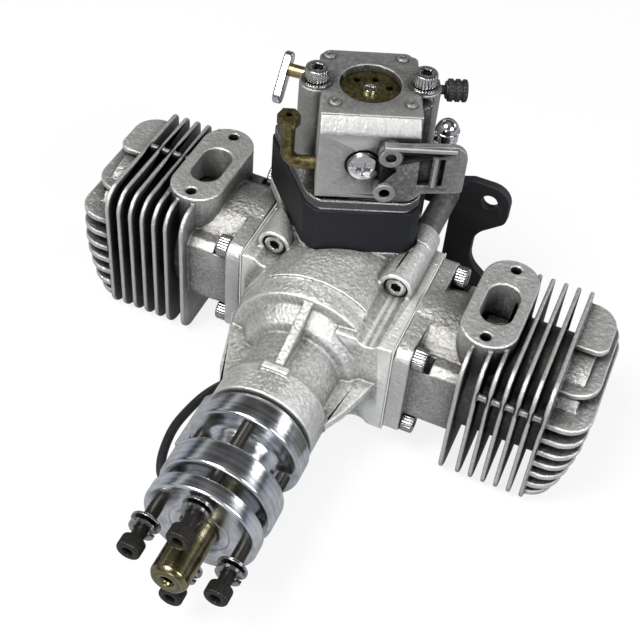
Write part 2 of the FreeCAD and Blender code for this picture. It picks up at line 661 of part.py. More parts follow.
# Crankcase casting: barrel, deck blocks, stepped nose, ribs, lugs and pedestal, cut in two halves
def build_crankcase():
    front = [
        (-s.barrel_front + 4, 0), (-s.barrel_front + 4, s.barrel_radius - 0.8),
        (-s.barrel_front - 0.5, s.barrel_radius - 0.8), (-28.0, 24.0), (-28.4, 20.5), (-31.5, 18.6),
        (-33.5, 17.0), (-34.2, s.nose_radius), (-s.collar_back + 1.2, s.nose_radius),
        (-s.collar_back, s.collar_radius), (-s.nose_end, s.collar_radius), (-s.nose_end, 0),
    ]
    rear_wall = s.chamber_half + s.bearing_width + 3
    shapes = [
        rod("barrel", "Y", s.barrel_radius, -s.barrel_front, s.barrel_front),
        turned("nose_steps", "Y", front),
        rod("rear_boss", "Y", s.bearing_radius + 4, s.barrel_front - 1, rear_wall),
    ]
    for side in (1, -1):
        centre = s.stagger * -side
        x_pair = (s.deck_inner * side, s.deck * side)
        y_pair = (centre - s.deck_half, centre + s.deck_half)
        shapes.append(block("deck_block", x_pair, y_pair, (-s.deck_height, s.deck_height)))
    for across in quarter_points(s.lug_x, s.lug_z):
        shapes.append(rod("lug", "Y", s.lug_radius, -s.lug_front, s.lug_rear, across))
    pedestal = slab("pedestal", "XY", spacer_outline(0.0), s.pedestal_bottom, s.spacer_bottom)
    shapes.append(in_carb_axes(pedestal))
    for side in (1, -1):
        rib = [(-18.0, 20.0 * side), (-21.5, 24.9 * side), (-48.0, 16.2 * side), (-51.5, 16.9 * side)]
        rib += [(-51.5, 13.0 * side), (-18.0, 13.0 * side)]
        points = rib if side == 1 else list(reversed(rib))
        shapes.append(slab("centre_rib", "YZ", points, -1.5, 1.5))
        web = [(0.0, -20.0), (24.0 * side, -20.0), (26.5 * side, -24.0), (24.0 * side, -31.0)]
        web += [(20.0 * side, -45.0), (16.6 * side, -52.0), (0.0, -52.0)]
        shapes.append(slab("side_web", "XY", web if side == -1 else list(reversed(web)), -1.6, 1.6))
    shapes.append(block("rib_foot", (-4.0, 4.0), (-51.5, -49.0), (12.0, 17.2)))
    pad_y = (0.5 - s.nose_end, -s.collar_back - 1)
    pad = common("sensor_pad", block("sensor_pad_block", (13.5, s.sensor_seat + 1), pad_y, (-5.0, 5.0)),
                 rod("sensor_pad_limit", "Y", s.sensor_seat, pad_y[0] - 1, pad_y[1] + 1))
    shapes.append(turn_about(pad, FreeCAD.Vector(0, -1, 0), s.sensor_angle))
    casting = joined("casting", shapes)

    clear = s.screw_radius + s.fit_gap
    seat_radius = s.bearing_radius + s.fit_gap / 2
    bearing_end = s.bearing_start + s.bearing_width
    seal_seat = s.seal_radius + s.fit_gap / 2
    nose_seat = s.nose_bearing_radius + s.fit_gap / 2
    front_bore = [
        (-s.chamber_half + 1, 0), (-s.chamber_half + 1, seat_radius), (-bearing_end, seat_radius),
        (-bearing_end, seal_seat), (-s.seal_front, seal_seat), (-s.seal_front, s.nose_bore_radius),
        (-s.nose_bearing_back, s.nose_bore_radius), (-s.nose_bearing_back, nose_seat),
        (-s.nose_end - 1, nose_seat), (-s.nose_end - 1, 0),
    ]
    cuts = [
        rod("chamber", "Y", s.chamber_radius, -s.chamber_half, s.chamber_half),
        turned("front_bore", "Y", front_bore),
        rod("rear_seat", "Y", seat_radius, s.chamber_half - 1, bearing_end),
        rod("rear_relief", "Y", s.shaft_radius + 1.5, bearing_end - 1, bearing_end + 1),
    ]
    for side in (1, -1):
        centre = s.stagger * -side
        room_y = (centre - s.deck_half - s.free_gap, centre + s.deck_half + s.free_gap)
        room_x = (s.deck * side, (s.deck + 20) * side)
        cuts.append(block("cylinder_room", room_x, room_y,
                          (0, s.bore_radius + s.barrel_wall + s.free_gap)))
        inner = s.deck_bore_start * side
        step = s.deck_bore_step * side
        outer = (s.deck + 1) * side
        cuts.append(rod("deck_passage", "X", s.deck_passage_radius, inner, outer, (centre, 0)))
        cuts.append(rod("deck_bore", "X", s.deck_bore_radius, step, outer, (centre, 0)))
        reach = (centre - s.transfer_reach, centre + s.transfer_reach)
        slot = (-s.transfer_slot, s.transfer_slot)
        cuts.append(block("deck_transfer", ((s.deck - 7.5) * side, (s.deck + 1) * side), reach, slot))
        for j in (1, -1):
            for k in (1, -1):
                across = (centre + s.base_screw_along * j, s.base_screw_height * k)
                inner = (s.deck - s.base_thread - s.tapping_spare) * side
                cuts.append(rod("base_tapping", "X", clear, inner, (s.deck + 1) * side, across))
    for across in quarter_points(s.lug_x, s.lug_z):
        cuts.append(rod("case_hole", "Y", clear, -s.lug_front - 1, s.lug_rear + 1, across))
        seat = s.counterbore_depth - s.lug_front
        cuts.append(rod("counterbore", "Y", s.counterbore_radius, -s.lug_front - 24, seat, across))
        cuts.append(rod("standoff_room", "Y", s.standoff_radius + s.free_gap, s.lug_rear,
                        s.mount_distance, across))
    above = slab("spacer_room", "XY", spacer_outline(s.free_gap), s.spacer_bottom, s.spacer_top)
    passage = block("intake_passage", (-s.intake_half_u, s.intake_half_u),
                    (-s.intake_half_v, s.intake_half_v),
                    (s.pedestal_bottom - 9, s.spacer_bottom + 1))
    cuts.append(in_carb_axes(above))
    cuts.append(in_carb_axes(passage))
    for i in (1, -1):
        tapping = rod("carb_tapping", "Z", clear, s.carb_screw_end - s.tapping_spare, s.spacer_bottom + 1,
                      (s.carb_screw_u * i, 0))
        cuts.append(in_carb_axes(tapping))
    tapping = rod("sensor_tapping", "X", 1.3, 15.6, s.sensor_seat + 1, (-s.sensor_screw_y, 0))
    cuts.append(turn_about(tapping, FreeCAD.Vector(0, -1, 0), s.sensor_angle))
    hollow = carved("casting_bored", casting, cuts)

    far = s.deck * 3
    ahead = block("ahead_of_split", (-far, far), (-far, s.split_plane), (-far, far))
    behind = block("behind_split", (-far, far), (s.split_plane, far), (-far, far))
    node("crankcase_front", common("case_front", hollow, ahead))
    node("crankcase_rear", common("case_rear", hollow, behind))


def bearing(name, first, last, inner, outer, ball_radius, ball_count):
    """A ball bearing: two grooved rings and a ring of balls, all along the crank."""
    first, last = ordered(first, last)
    middle = (first + last) / 2
    pitch = (inner + outer) / 2
    wall = (outer - inner) * 0.28
    groove = ring(name + "_groove", "Y", pitch, ball_radius + 0.02, middle)
    outer_blank = carved(name + "_outer_blank", rod(name + "_outer", "Y", outer, first, last),
                         [rod(name + "_outer_bore", "Y", outer - wall, first, last)])
    inner_blank = carved(name + "_inner_blank", rod(name + "_inner", "Y", inner + wall, first, last),
                         [rod(name + "_inner_bore", "Y", inner + s.fit_gap, first, last)])
    pieces = [carved(name + "_outer_ring", outer_blank, [groove]),
              carved(name + "_inner_ring", inner_blank, [groove])]
    for i in range(ball_count):
        angle = Size(360.0 * i / ball_count)
        pieces.append(ball(name + "_ball", ball_radius, pitch * cosine(angle), middle,
                           pitch * sine(angle)))
    node(name, group(name + "_set", pieces))


def build_bearings():
    end = s.bearing_start + s.bearing_width
    bearing("front_main_bearing", -end, -s.bearing_start, s.shaft_radius, s.bearing_radius, 2.4, 9)
    bearing("rear_main_bearing", s.bearing_start, end, s.shaft_radius, s.bearing_radius, 2.4, 9)
    nose_front = s.nose_bearing_back + s.nose_bearing_width
    bearing("nose_bearing", -nose_front, -s.nose_bearing_back, s.nose_shaft_radius, s.nose_bearing_radius,
            2.2, 9)
    back = -s.seal_front + s.seal_width
    lip = s.shaft_radius + s.fit_gap
    seal = [
        (-s.seal_front, lip), (-s.seal_front, s.seal_radius), (back, s.seal_radius),
        (back, s.seal_radius - 1.2),
        (-s.seal_front + 1.4, s.seal_radius - 1.2), (-s.seal_front + 1.4, lip + 1.4), (back - 1, lip + 1),
        (back - 1, lip),
    ]
    node("shaft_seal", turned("seal", "Y", list(reversed(seal))))


# Lying fins of a head: top, front and rear from the cylinder axis, outer end off the crank axis
HEAD_FINS = (
    (20.6, 1.7, 20.8, 85.0),
    (15.6, -12.7, 22.6, 86.5),
    (10.6, -22.0, 23.2, 87.6),
    (5.0, -22.8, 23.6, 87.3),
    (-0.2, -23.4, 23.8, 87.0),
    (-5.0, -23.8, 23.8, 86.3),
    (-10.2, -23.8, 23.8, 85.4),
    (-15.4, -23.8, 23.8, 84.2),
    (-20.6, -23.0, 23.0, 82.6),
)


def head_fins(side, centre):
    """The lying fins of the head, wider toward the middle of its height."""
    inner = (s.skirt_end + s.fin_first_gap + s.fin_pitch * 5) * side
    fins = []
    for top, front, rear, outer in HEAD_FINS:
        corner = s.head_fin_corner if front < 0 else 4.0
        points = [
            (inner, centre + front), (Size(outer) * side, centre + front, corner),
            (Size(outer) * side, centre + rear, s.head_fin_corner), (inner, centre + rear),
        ]
        points = points if side == 1 else list(reversed(points))
        fins.append(slab("head_fin", "XY", points, top - s.head_fin_thickness, top))
    return fins


# Small pegs between the fins: along the crank from the cylinder axis, and height
PEGS = {1: (-22.9, 13.0), -1: (4.7, 22.2)}


def build_cylinder(side, name):
    centre = s.stagger * -side
    start = (s.deck + s.gasket_thickness) * side
    flange_end = (s.deck + s.gasket_thickness + s.base_flange) * side
    skirt_end = s.skirt_end * side
    fin_zero = s.skirt_end
    last_fin = s.skirt_end + s.fin_first_gap + s.fin_pitch * 5
    flange = [(centre + s.deck_half * j, s.deck_height * k, 4.0) for j,
              k in ((1, -1), (1, 1), (-1, 1), (-1, -1))]
    low, high = ordered(start, flange_end)
    housing = [
        (centre + s.transfer_half, -s.transfer_height, 5.0),
        (centre + s.transfer_half, s.transfer_height - 2),
        (centre + s.transfer_half - 2.4, s.transfer_height),
        (centre - s.transfer_half + 2.4, s.transfer_height),
        (centre - s.transfer_half, s.transfer_height - 2),
        (centre - s.transfer_half, -s.transfer_height, 5.0),
    ]
    barrel = s.bore_radius + s.barrel_wall
    shapes = [
        slab("base_flange_plate", "YZ", flange, low, high),
        slab("transfer_housing", "YZ", housing, flange_end, skirt_end + side * 0.5),
        rod("cylinder_barrel", "X", barrel, start, last_fin * side, (centre, 0)),
        rod("head_core", "X", s.head_core_radius, (last_fin - 1) * side, s.head_core_end * side,
            (centre, 0)),
    ]
    front_y, rear_y = centre - s.fin_half, centre + s.fin_half
    fin = [
        (rear_y, -s.fin_bottom, s.fin_corner), (rear_y, s.fin_top, s.fin_rear_corner),
        (front_y, s.fin_top, s.fin_corner), (front_y, -s.fin_bottom, s.fin_corner),
    ]
    for i in range(7):
        x = fin_zero if i == 0 else s.skirt_end + s.fin_first_gap + s.fin_pitch * (i - 1)
        half = s.fin_thickness / 2
        shapes.append(slab("fin", "YZ", fin, (x - half) * side, (x + half) * side))
        if i in (1, 2, 3, 4, 5):
            peg_y, peg_z = PEGS[side]
            pitch_end = x + s.fin_pitch
            peg_ys = (centre + peg_y - 0.8, centre + peg_y + 0.8)
            shapes.append(block("fin_peg", (x * side, pitch_end * side), peg_ys, (peg_z - 1, peg_z + 1)))
    shapes += head_fins(side, centre)
    flange_y = centre + s.exhaust_y
    half_length = s.exhaust_stud + 3.9 - s.exhaust_half_width
    x_pair = ((s.exhaust_x - s.exhaust_half_width) * side, (s.exhaust_x + s.exhaust_half_width) * side)
    stack_bottom = 8.0
    shapes.append(block("exhaust_stack", x_pair, (flange_y - half_length, flange_y + half_length),
                        (stack_bottom, s.exhaust_top)))
    for j in (1, -1):
        across = (s.exhaust_x * side, flange_y + half_length * j)
        shapes.append(rod("exhaust_end", "Z", s.exhaust_half_width, stack_bottom, s.exhaust_top, across))
    plug_axis = FreeCAD.Vector(0, 0, 1)
    plug_angle = s.plug_angle if side == 1 else 180 - s.plug_angle
    plug_x, plug_y = s.plug_start_x * side, centre + s.plug_start_y
    boss = rod("plug_boss", "X", s.plug_boss_radius, 0.0, s.plug_seat)
    shapes.append(turn_about(boss, plug_axis, plug_angle, plug_x, plug_y, 0))
    blank = joined(name + "_blank", shapes)

    clear = s.screw_radius + s.fit_gap
    squish = s.squish_end * side
    cuts = [
        rod("bore", "X", s.bore_radius, start - side, squish, (centre, 0)),
        cone("dome", "X", s.dome_rim_radius, s.dome_top_radius, squish,
             (s.squish_end + s.dome_depth) * side, (centre, 0)),
        block("transfer_slot_cut", (start - side, (s.skirt_end - 0.8) * side),
              (centre - s.transfer_reach, centre + s.transfer_reach),
              (-s.transfer_slot, s.transfer_slot)),
    ]
    for j in (1, -1):
        for k in (1, -1):
            across = (centre + s.base_screw_along * j, s.base_screw_height * k)
            cuts.append(rod("base_hole", "X", clear, start - side, flange_end + side, across))
            cuts.append(rod("head_room", "X", s.screw_head_radius + 0.5, flange_end,
                            flange_end + side * 5.5, across))
    port_x = ((s.exhaust_x - s.port_half_width) * side, (s.exhaust_x + s.port_half_width) * side)
    front_centre = flange_y - s.port_front + s.port_half_width
    rear_centre = flange_y + s.port_rear - s.port_half_width
    cuts.append(block("port", port_x, (front_centre, rear_centre), (4.0, s.exhaust_top + 1)))
    for y in (front_centre, rear_centre):
        cuts.append(rod("port_end", "Z", s.port_half_width, 4.0, s.exhaust_top + 1,
                        (s.exhaust_x * side, y)))
    for j in (1, -1):
        across = (s.exhaust_x * side, flange_y + s.exhaust_stud * j)
        bottom = s.exhaust_top - s.exhaust_hole_depth
        cuts.append(rod("exhaust_tapping", "Z", s.exhaust_hole_radius, bottom, s.exhaust_top + 1, across))
    thread = rod("plug_thread", "X", s.plug_thread_radius, s.plug_thread_start - 1, s.plug_seat + 1)
    relief = rod("plug_relief", "X", s.plug_thread_radius + s.plug_relief, 0.0, s.plug_thread_start)
    well = rod("plug_well", "X", s.plug_well_radius, s.plug_seat, s.plug_seat + 14)
    for cut in (thread, relief, well):
        cuts.append(turn_about(cut, plug_axis, plug_angle, plug_x, plug_y, 0))
    node(name, carved(name + "_casting", blank, cuts))


def build_base_fasteners():
    gaskets, screws = [], []
    clear = s.screw_radius + s.fit_gap
    for side in (1, -1):
        centre = s.stagger * -side
        near, far = s.deck * side, (s.deck + s.gasket_thickness) * side
        holes = [rod("gasket_bore", "X", s.deck_bore_radius, near - side, far + side, (centre, 0))]
        y_pair = (centre - s.transfer_reach, centre + s.transfer_reach)
        holes.append(block("gasket_slot", (near - side, far + side), y_pair,
                           (-s.transfer_slot, s.transfer_slot)))
        seat = (s.deck + s.gasket_thickness + s.base_flange) * side
        length = s.gasket_thickness + s.base_flange + s.base_thread
        for j in (1, -1):
            for k in (1, -1):
                across = (centre + s.base_screw_along * j, s.base_screw_height * k)
                holes.append(rod("gasket_hole", "X", clear, near - side, far + side, across))
                screws.append(cap_screw("base_screw", "X", seat, side, length, across))
        sheet_y = (centre - s.deck_half, centre + s.deck_half)
        paper = block("gasket_sheet", (near, far), sheet_y, (-s.deck_height, s.deck_height))
        gaskets.append(carved("gasket", paper, holes))
    node("base_gaskets", group("gasket_set", gaskets))
    node("base_screws", group("base_screw_set", screws))


# Propeller bolts as they hang without a propeller: head seat and flat washer ahead of the middle
LOOSE_BOLTS = ((109.5, 103.8), (106.5, 99.4), (108.0, 102.4), (108.4, 102.2))


# Crankshaft in three pieces, and what turns with it
def build_crank():
    half_centre = s.centre_web / 2
    inner = half_centre + s.pin_plane_gap
    outer = s.chamber_half - s.web_clearance
    node("crank_centre_web", rod("centre_web", "Y", s.web_radius, -half_centre, half_centre))
    rear = [(inner, 0), (inner, s.web_radius), (outer, s.web_radius), (outer, s.shaft_radius + 1.5),
            (s.bearing_start - 0.3, s.shaft_radius + 1.5), (s.bearing_start - 0.3, s.shaft_radius),
            (s.bearing_start + s.bearing_width - 0.2, s.shaft_radius),
            (s.bearing_start + s.bearing_width - 0.2, 0)]
    node("crankshaft_rear", turned("rear_shaft", "Y", list(reversed(rear))))
    step = s.seal_front + 1.5
    front = [(-inner, 0), (-inner, s.web_radius), (-outer, s.web_radius), (-outer, s.shaft_radius + 1.5),
             (-s.bearing_start + 0.3, s.shaft_radius + 1.5), (-s.bearing_start + 0.3, s.shaft_radius),
             (-step, s.shaft_radius), (-step - 1, s.nose_shaft_radius),
             (-s.shaft_front, s.nose_shaft_radius),
             (-s.shaft_front, s.spigot_shank_radius + s.fit_gap),
             (-s.shaft_front + s.spigot_shank_length + 1, s.spigot_shank_radius + s.fit_gap),
             (-s.shaft_front + s.spigot_shank_length + 1, 0)]
    node("crankshaft_front", turned("front_shaft", "Y", front))

    shaft_bore = s.nose_shaft_radius + s.fit_gap / 2
    spigot_bore = s.spigot_radius + s.fit_gap / 2
    edge = 0.7
    hub = [
        (-s.hub_back, shaft_bore), (-s.hub_back, s.hub_radius - edge), (-s.hub_back - edge, s.hub_radius),
        (-s.hub_waist_back + edge, s.hub_radius), (-s.hub_waist_back, s.hub_radius - edge),
        (-s.hub_waist_back, s.hub_waist_radius + 1), (-s.hub_waist_back - 1, s.hub_waist_radius),
        (-s.hub_waist_front + 1, s.hub_waist_radius), (-s.hub_waist_front, s.hub_waist_radius + 1),
        (-s.hub_waist_front, s.hub_radius - edge), (-s.hub_waist_front - edge, s.hub_radius),
        (-s.hub_front + edge, s.hub_radius), (-s.hub_front, s.hub_radius - edge),
        (-s.hub_front, spigot_bore), (-s.shaft_front - 0.3, spigot_bore),
        (-s.shaft_front - 0.3, shaft_bore),
    ]
    driver = turned("hub", "Y", hub)
    bolt_clear = s.screw_radius + s.fit_gap
    angles = [s.prop_bolt_angle + 90.0 * i for i in range(4)]
    places = [(s.prop_bolt_circle * cosine(a), s.prop_bolt_circle * sine(a)) for a in angles]
    hub_holes = [rod("hub_bolt_hole", "Y", bolt_clear, -s.hub_front - 1, -s.hub_back - 2.5,
                     p) for p in places]
    magnet_hole = rod("magnet_hole", "X", s.magnet_radius + s.fit_gap / 2, s.hub_radius - s.magnet_depth,
                      s.hub_radius + 1, (-s.magnet_y, 0))
    hub_holes.append(turn_about(magnet_hole, FreeCAD.Vector(0, -1, 0), s.sensor_angle - 14))
    node("prop_driver", carved("hub_drilled", driver, hub_holes))
    magnet = rod("magnet", "X", s.magnet_radius, s.hub_radius - s.magnet_depth, s.hub_radius - 0.1,
                 (-s.magnet_y, 0))
    node("sensor_magnet", turn_about(magnet, FreeCAD.Vector(0, -1, 0), s.sensor_angle - 14))

    spigot_back = s.shaft_front + 0.3
    spigot = [
        (-s.spigot_front, 1.6), (-s.spigot_front, s.spigot_radius - 0.8),
        (-s.spigot_front + 0.8, s.spigot_radius),
        (-spigot_back, s.spigot_radius), (-spigot_back, s.spigot_shank_radius),
        (-s.shaft_front + s.spigot_shank_length, s.spigot_shank_radius),
        (-s.shaft_front + s.spigot_shank_length, 0),
        (-s.spigot_front + 8, 0), (-s.spigot_front + 7, 1.6),
    ]
    node("centre_spigot", turned("spigot", "Y", list(reversed(spigot))))

    clear_hole = s.screw_radius + s.fit_gap * 3
    disc = rod("prop_washer_disc", "Y", s.prop_washer_radius, -s.prop_washer_front, -s.prop_washer_back)
    holes = [rod("prop_washer_bore", "Y", s.spigot_radius + s.fit_gap * 2, -s.prop_washer_front,
                 -s.prop_washer_back)]
    holes += [rod("prop_washer_hole", "Y", clear_hole, -s.prop_washer_front, -s.prop_washer_back,
                  p) for p in places]
    node("prop_washer", carved("prop_washer_plate", disc, holes))

    bolts, flats, springs = [], [], []
    for place, (face, flat) in zip(places, LOOSE_BOLTS):
        bolts.append(cap_screw("prop_bolt", "Y", -Size(face), -1, s.prop_bolt_length, place))
        flats.append(washer("flat_washer", "Y", s.washer_radius, -Size(flat),
                            -Size(flat) + s.washer_thickness, place))
        spring_front = -Size(flat) - 0.1
        springs.append(washer("spring_washer", "Y", s.spring_washer_radius,
                              spring_front - s.spring_washer_height,
                              spring_front, place))
    node("prop_bolts", group("prop_bolt_set", bolts))
    node("bolt_washers", group("flat_washer_set", flats + springs))


# One piston with its ring, wrist pin, rod and crankpin
def build_piston(side, name):
    centre = s.stagger * -side
    pin_x = s.crank_radius + s.rod_length
    crown = pin_x + s.crown_height
    skirt = crown - s.piston_length
    radius = s.bore_radius - s.piston_gap
    hollow_radius = radius - s.piston_wall
    groove_x = crown - 2.5
    ring_height = 1.2
    groove = carved("ring_groove", rod("groove_outer", "X", radius + 1, (groove_x - 0.03) * side,
                                       (groove_x + ring_height + 0.03) * side, (centre, 0)),
                    [rod("groove_inner", "X", radius - 1.7, (groove_x - 1) * side,
                         (groove_x + ring_height + 1) * side,
                         (centre, 0))])
    cup = carved("piston_cup", rod("piston_rod", "X", radius, skirt * side, crown * side, (centre, 0)),
                 [rod("piston_hollow", "X", hollow_radius, (skirt - 1) * side,
                      (crown - s.crown_wall) * side, (centre, 0))])
    bosses = []
    for j in (1, -1):
        y_pair = (centre + (s.rod_width / 2 + 0.6) * j, centre + (hollow_radius + 0.6) * j)
        first, last = ordered(*y_pair)
        bosses.append(rod("pin_boss", "Y", s.wrist_radius + 2.6, first, last, (pin_x * side, 0)))
        bosses.append(block("pin_pillar", (pin_x * side, (crown - s.crown_wall + 0.5) * side), y_pair,
                            (-s.wrist_radius - 2.6, s.wrist_radius + 2.6)))
    inside = common("bosses_inside", joined("pin_bosses", bosses),
                    rod("boss_limit", "X", hollow_radius + 0.5, (skirt - 1) * side, crown * side,
                        (centre, 0)))
    solid = joined("piston_solid", [cup, inside])
    pin_hole = rod("pin_hole", "Y", s.wrist_radius + s.fit_gap / 2, centre - s.bore_radius - 1,
                   centre + s.bore_radius + 1,
                   (pin_x * side, 0))
    node(name + "_piston", carved(name + "_piston_body", solid, [pin_hole, groove]))

    ring_outer = rod("ring_outer", "X", s.bore_radius - 0.02, groove_x * side,
                     (groove_x + ring_height) * side, (centre, 0))
    ring_inner = rod("ring_inner", "X", radius - 1.6, (groove_x - 1) * side,
                     (groove_x + ring_height + 1) * side, (centre, 0))
    gap = block("ring_gap", ((groove_x - 1) * side, (groove_x + ring_height + 1) * side),
                (centre - 0.3, centre + 0.3),
                (-s.bore_radius - 1, 0.0))
    node(name + "_piston_ring", carved(name + "_ring", ring_outer, [ring_inner, gap]))

    half_pin = s.wrist_length / 2
    wrist = carved(name + "_wrist",
                   rod("wrist_rod", "Y", s.wrist_radius, centre - half_pin, centre + half_pin,
                                        (pin_x * side, 0)),
                   [rod("wrist_bore", "Y", s.wrist_bore, centre - half_pin - 1, centre + half_pin + 1,
                        (pin_x * side, 0))])
    node(name + "_wrist_pin", wrist)

    half_rod = s.rod_width / 2
    y_pair = (centre - half_rod, centre + half_rod)
    eyes = [
        rod("small_end", "Y", s.small_end_radius, y_pair[0], y_pair[1], (pin_x * side, 0)),
        rod("big_end", "Y", s.big_end_radius, y_pair[0], y_pair[1], (s.crank_radius * side, 0)),
        block("rod_shank_bar", (s.crank_radius * side, pin_x * side),
              (centre - s.rod_web / 2, centre + s.rod_web / 2), (-s.rod_shank / 2, s.rod_shank / 2)),
    ]
    bores = [
        rod("small_end_bore", "Y", s.wrist_radius + s.fit_gap, y_pair[0] - 1, y_pair[1] + 1,
            (pin_x * side, 0)),
        rod("big_end_bore", "Y", s.crankpin_radius + s.fit_gap, y_pair[0] - 1, y_pair[1] + 1,
            (s.crank_radius * side, 0)),
    ]
    node(name + "_connecting_rod", carved(name + "_rod", joined(name + "_rod_blank", eyes), bores))
    pin_half = s.pin_plane_gap / 2 - s.free_gap
    pin_centre = (s.centre_web / 2 + s.pin_plane_gap / 2) * -side
    pin = rod("crankpin_rod", "Y", s.crankpin_radius, pin_centre - pin_half, pin_centre + pin_half,
              (s.crank_radius * side, 0))
    node(name + "_crankpin", pin)


# Intake: spacer, reed block with petals, and the bright plates under the carburettor
def build_intake():
    clear = s.screw_radius + s.fit_gap
    screw_holes = [(s.carb_screw_u * i, 0) for i in (1, -1)]
    u_pair, v_pair = (-s.intake_half_u, s.intake_half_u), (-s.intake_half_v, s.intake_half_v)
    body = slab("spacer_body", "XY", spacer_outline(0.0), s.spacer_bottom, s.spacer_top)
    cuts = [block("spacer_passage", u_pair, v_pair, (s.spacer_bottom - 1, s.spacer_top + 1))]
    cuts += [rod("spacer_hole", "Z", clear, s.spacer_bottom - 1, s.spacer_top + 1,
                 p) for p in screw_holes]
    carb_node("intake_spacer", carved("spacer", body, cuts))

    plates = []
    flange_bottom = s.spacer_top + s.shim_thickness
    flange_top = flange_bottom + s.reed_flange
    for bottom, name in ((s.spacer_top, "lower"), (flange_top, "upper")):
        sheet_metal = slab(name + "_shim", "XY", spacer_outline(-s.plate_inset), bottom,
                           bottom + s.shim_thickness)
        top = bottom + s.shim_thickness
        if name == "lower":
            cuts = [block("shim_window", u_pair, v_pair, (bottom - 1, top + 1))]
        else:
            cuts = [rod("shim_bore", "Z", s.carb_bore_radius, bottom - 1, top + 1)]
        cuts += [rod("shim_hole", "Z", clear, bottom - 1, top + 1, p) for p in screw_holes]
        plates.append(carved(name + "_shim_plate", sheet_metal, cuts))
    carb_node("intake_plates", group("shim_set", plates))

    low = s.spacer_top - s.reed_depth
    edge = 8.6
    tip = 1.6
    wedge = slab("reed_wedge", "YZ",
                 [(edge, flange_bottom), (-edge, flange_bottom), (-tip, low), (tip, low)],
                 -s.intake_half_u + 0.6, s.intake_half_u - 0.6)
    inner = slab("reed_hollow", "YZ",
                 [(edge - 2.4, flange_top + 1), (2.4 - edge, flange_top + 1), (-0.4, low + 4),
                  (0.4, low + 4)],
                 -s.intake_half_u + 2.2, s.intake_half_u - 2.2)
    flange = slab("reed_plate", "XY", spacer_outline(-s.plate_inset), flange_bottom, flange_top)
    drop = (flange_bottom - low)
    slope = Size(edge - tip) / drop
    windows = []
    for u in (-5.2, 0.0, 5.2):
        windows.append(block("reed_window", (u - 1.9, u + 1.9), (-edge, edge),
                             (low + 2.6, s.spacer_top - 2.4)))
    cuts = [inner] + windows + [rod("reed_screw_hole", "Z", clear, flange_bottom - 1, flange_top + 1,
                                    p) for p in screw_holes]
    carb_node("reed_block", carved("reed", joined("reed_blank", [flange, wedge]), cuts))

    petals = []
    gap = 0.06
    top = s.spacer_top - 0.4
    bottom = low + 1.0
    for j in (1, -1):
        upper = (tip + slope * (top - low) + gap) * j
        lower = (tip + slope * (bottom - low) + gap) * j
        thick = s.petal_thickness * j
        outline = [(upper, top), (lower, bottom), (lower + thick, bottom), (upper + thick, top)]
        outline = outline if j == 1 else list(reversed(outline))
        for u in (-5.2, 0.0, 5.2):
            petals.append(slab("petal", "YZ", outline, u - 2.4, u + 2.4))
    carb_node("reed_petals", group("petal_set", petals))


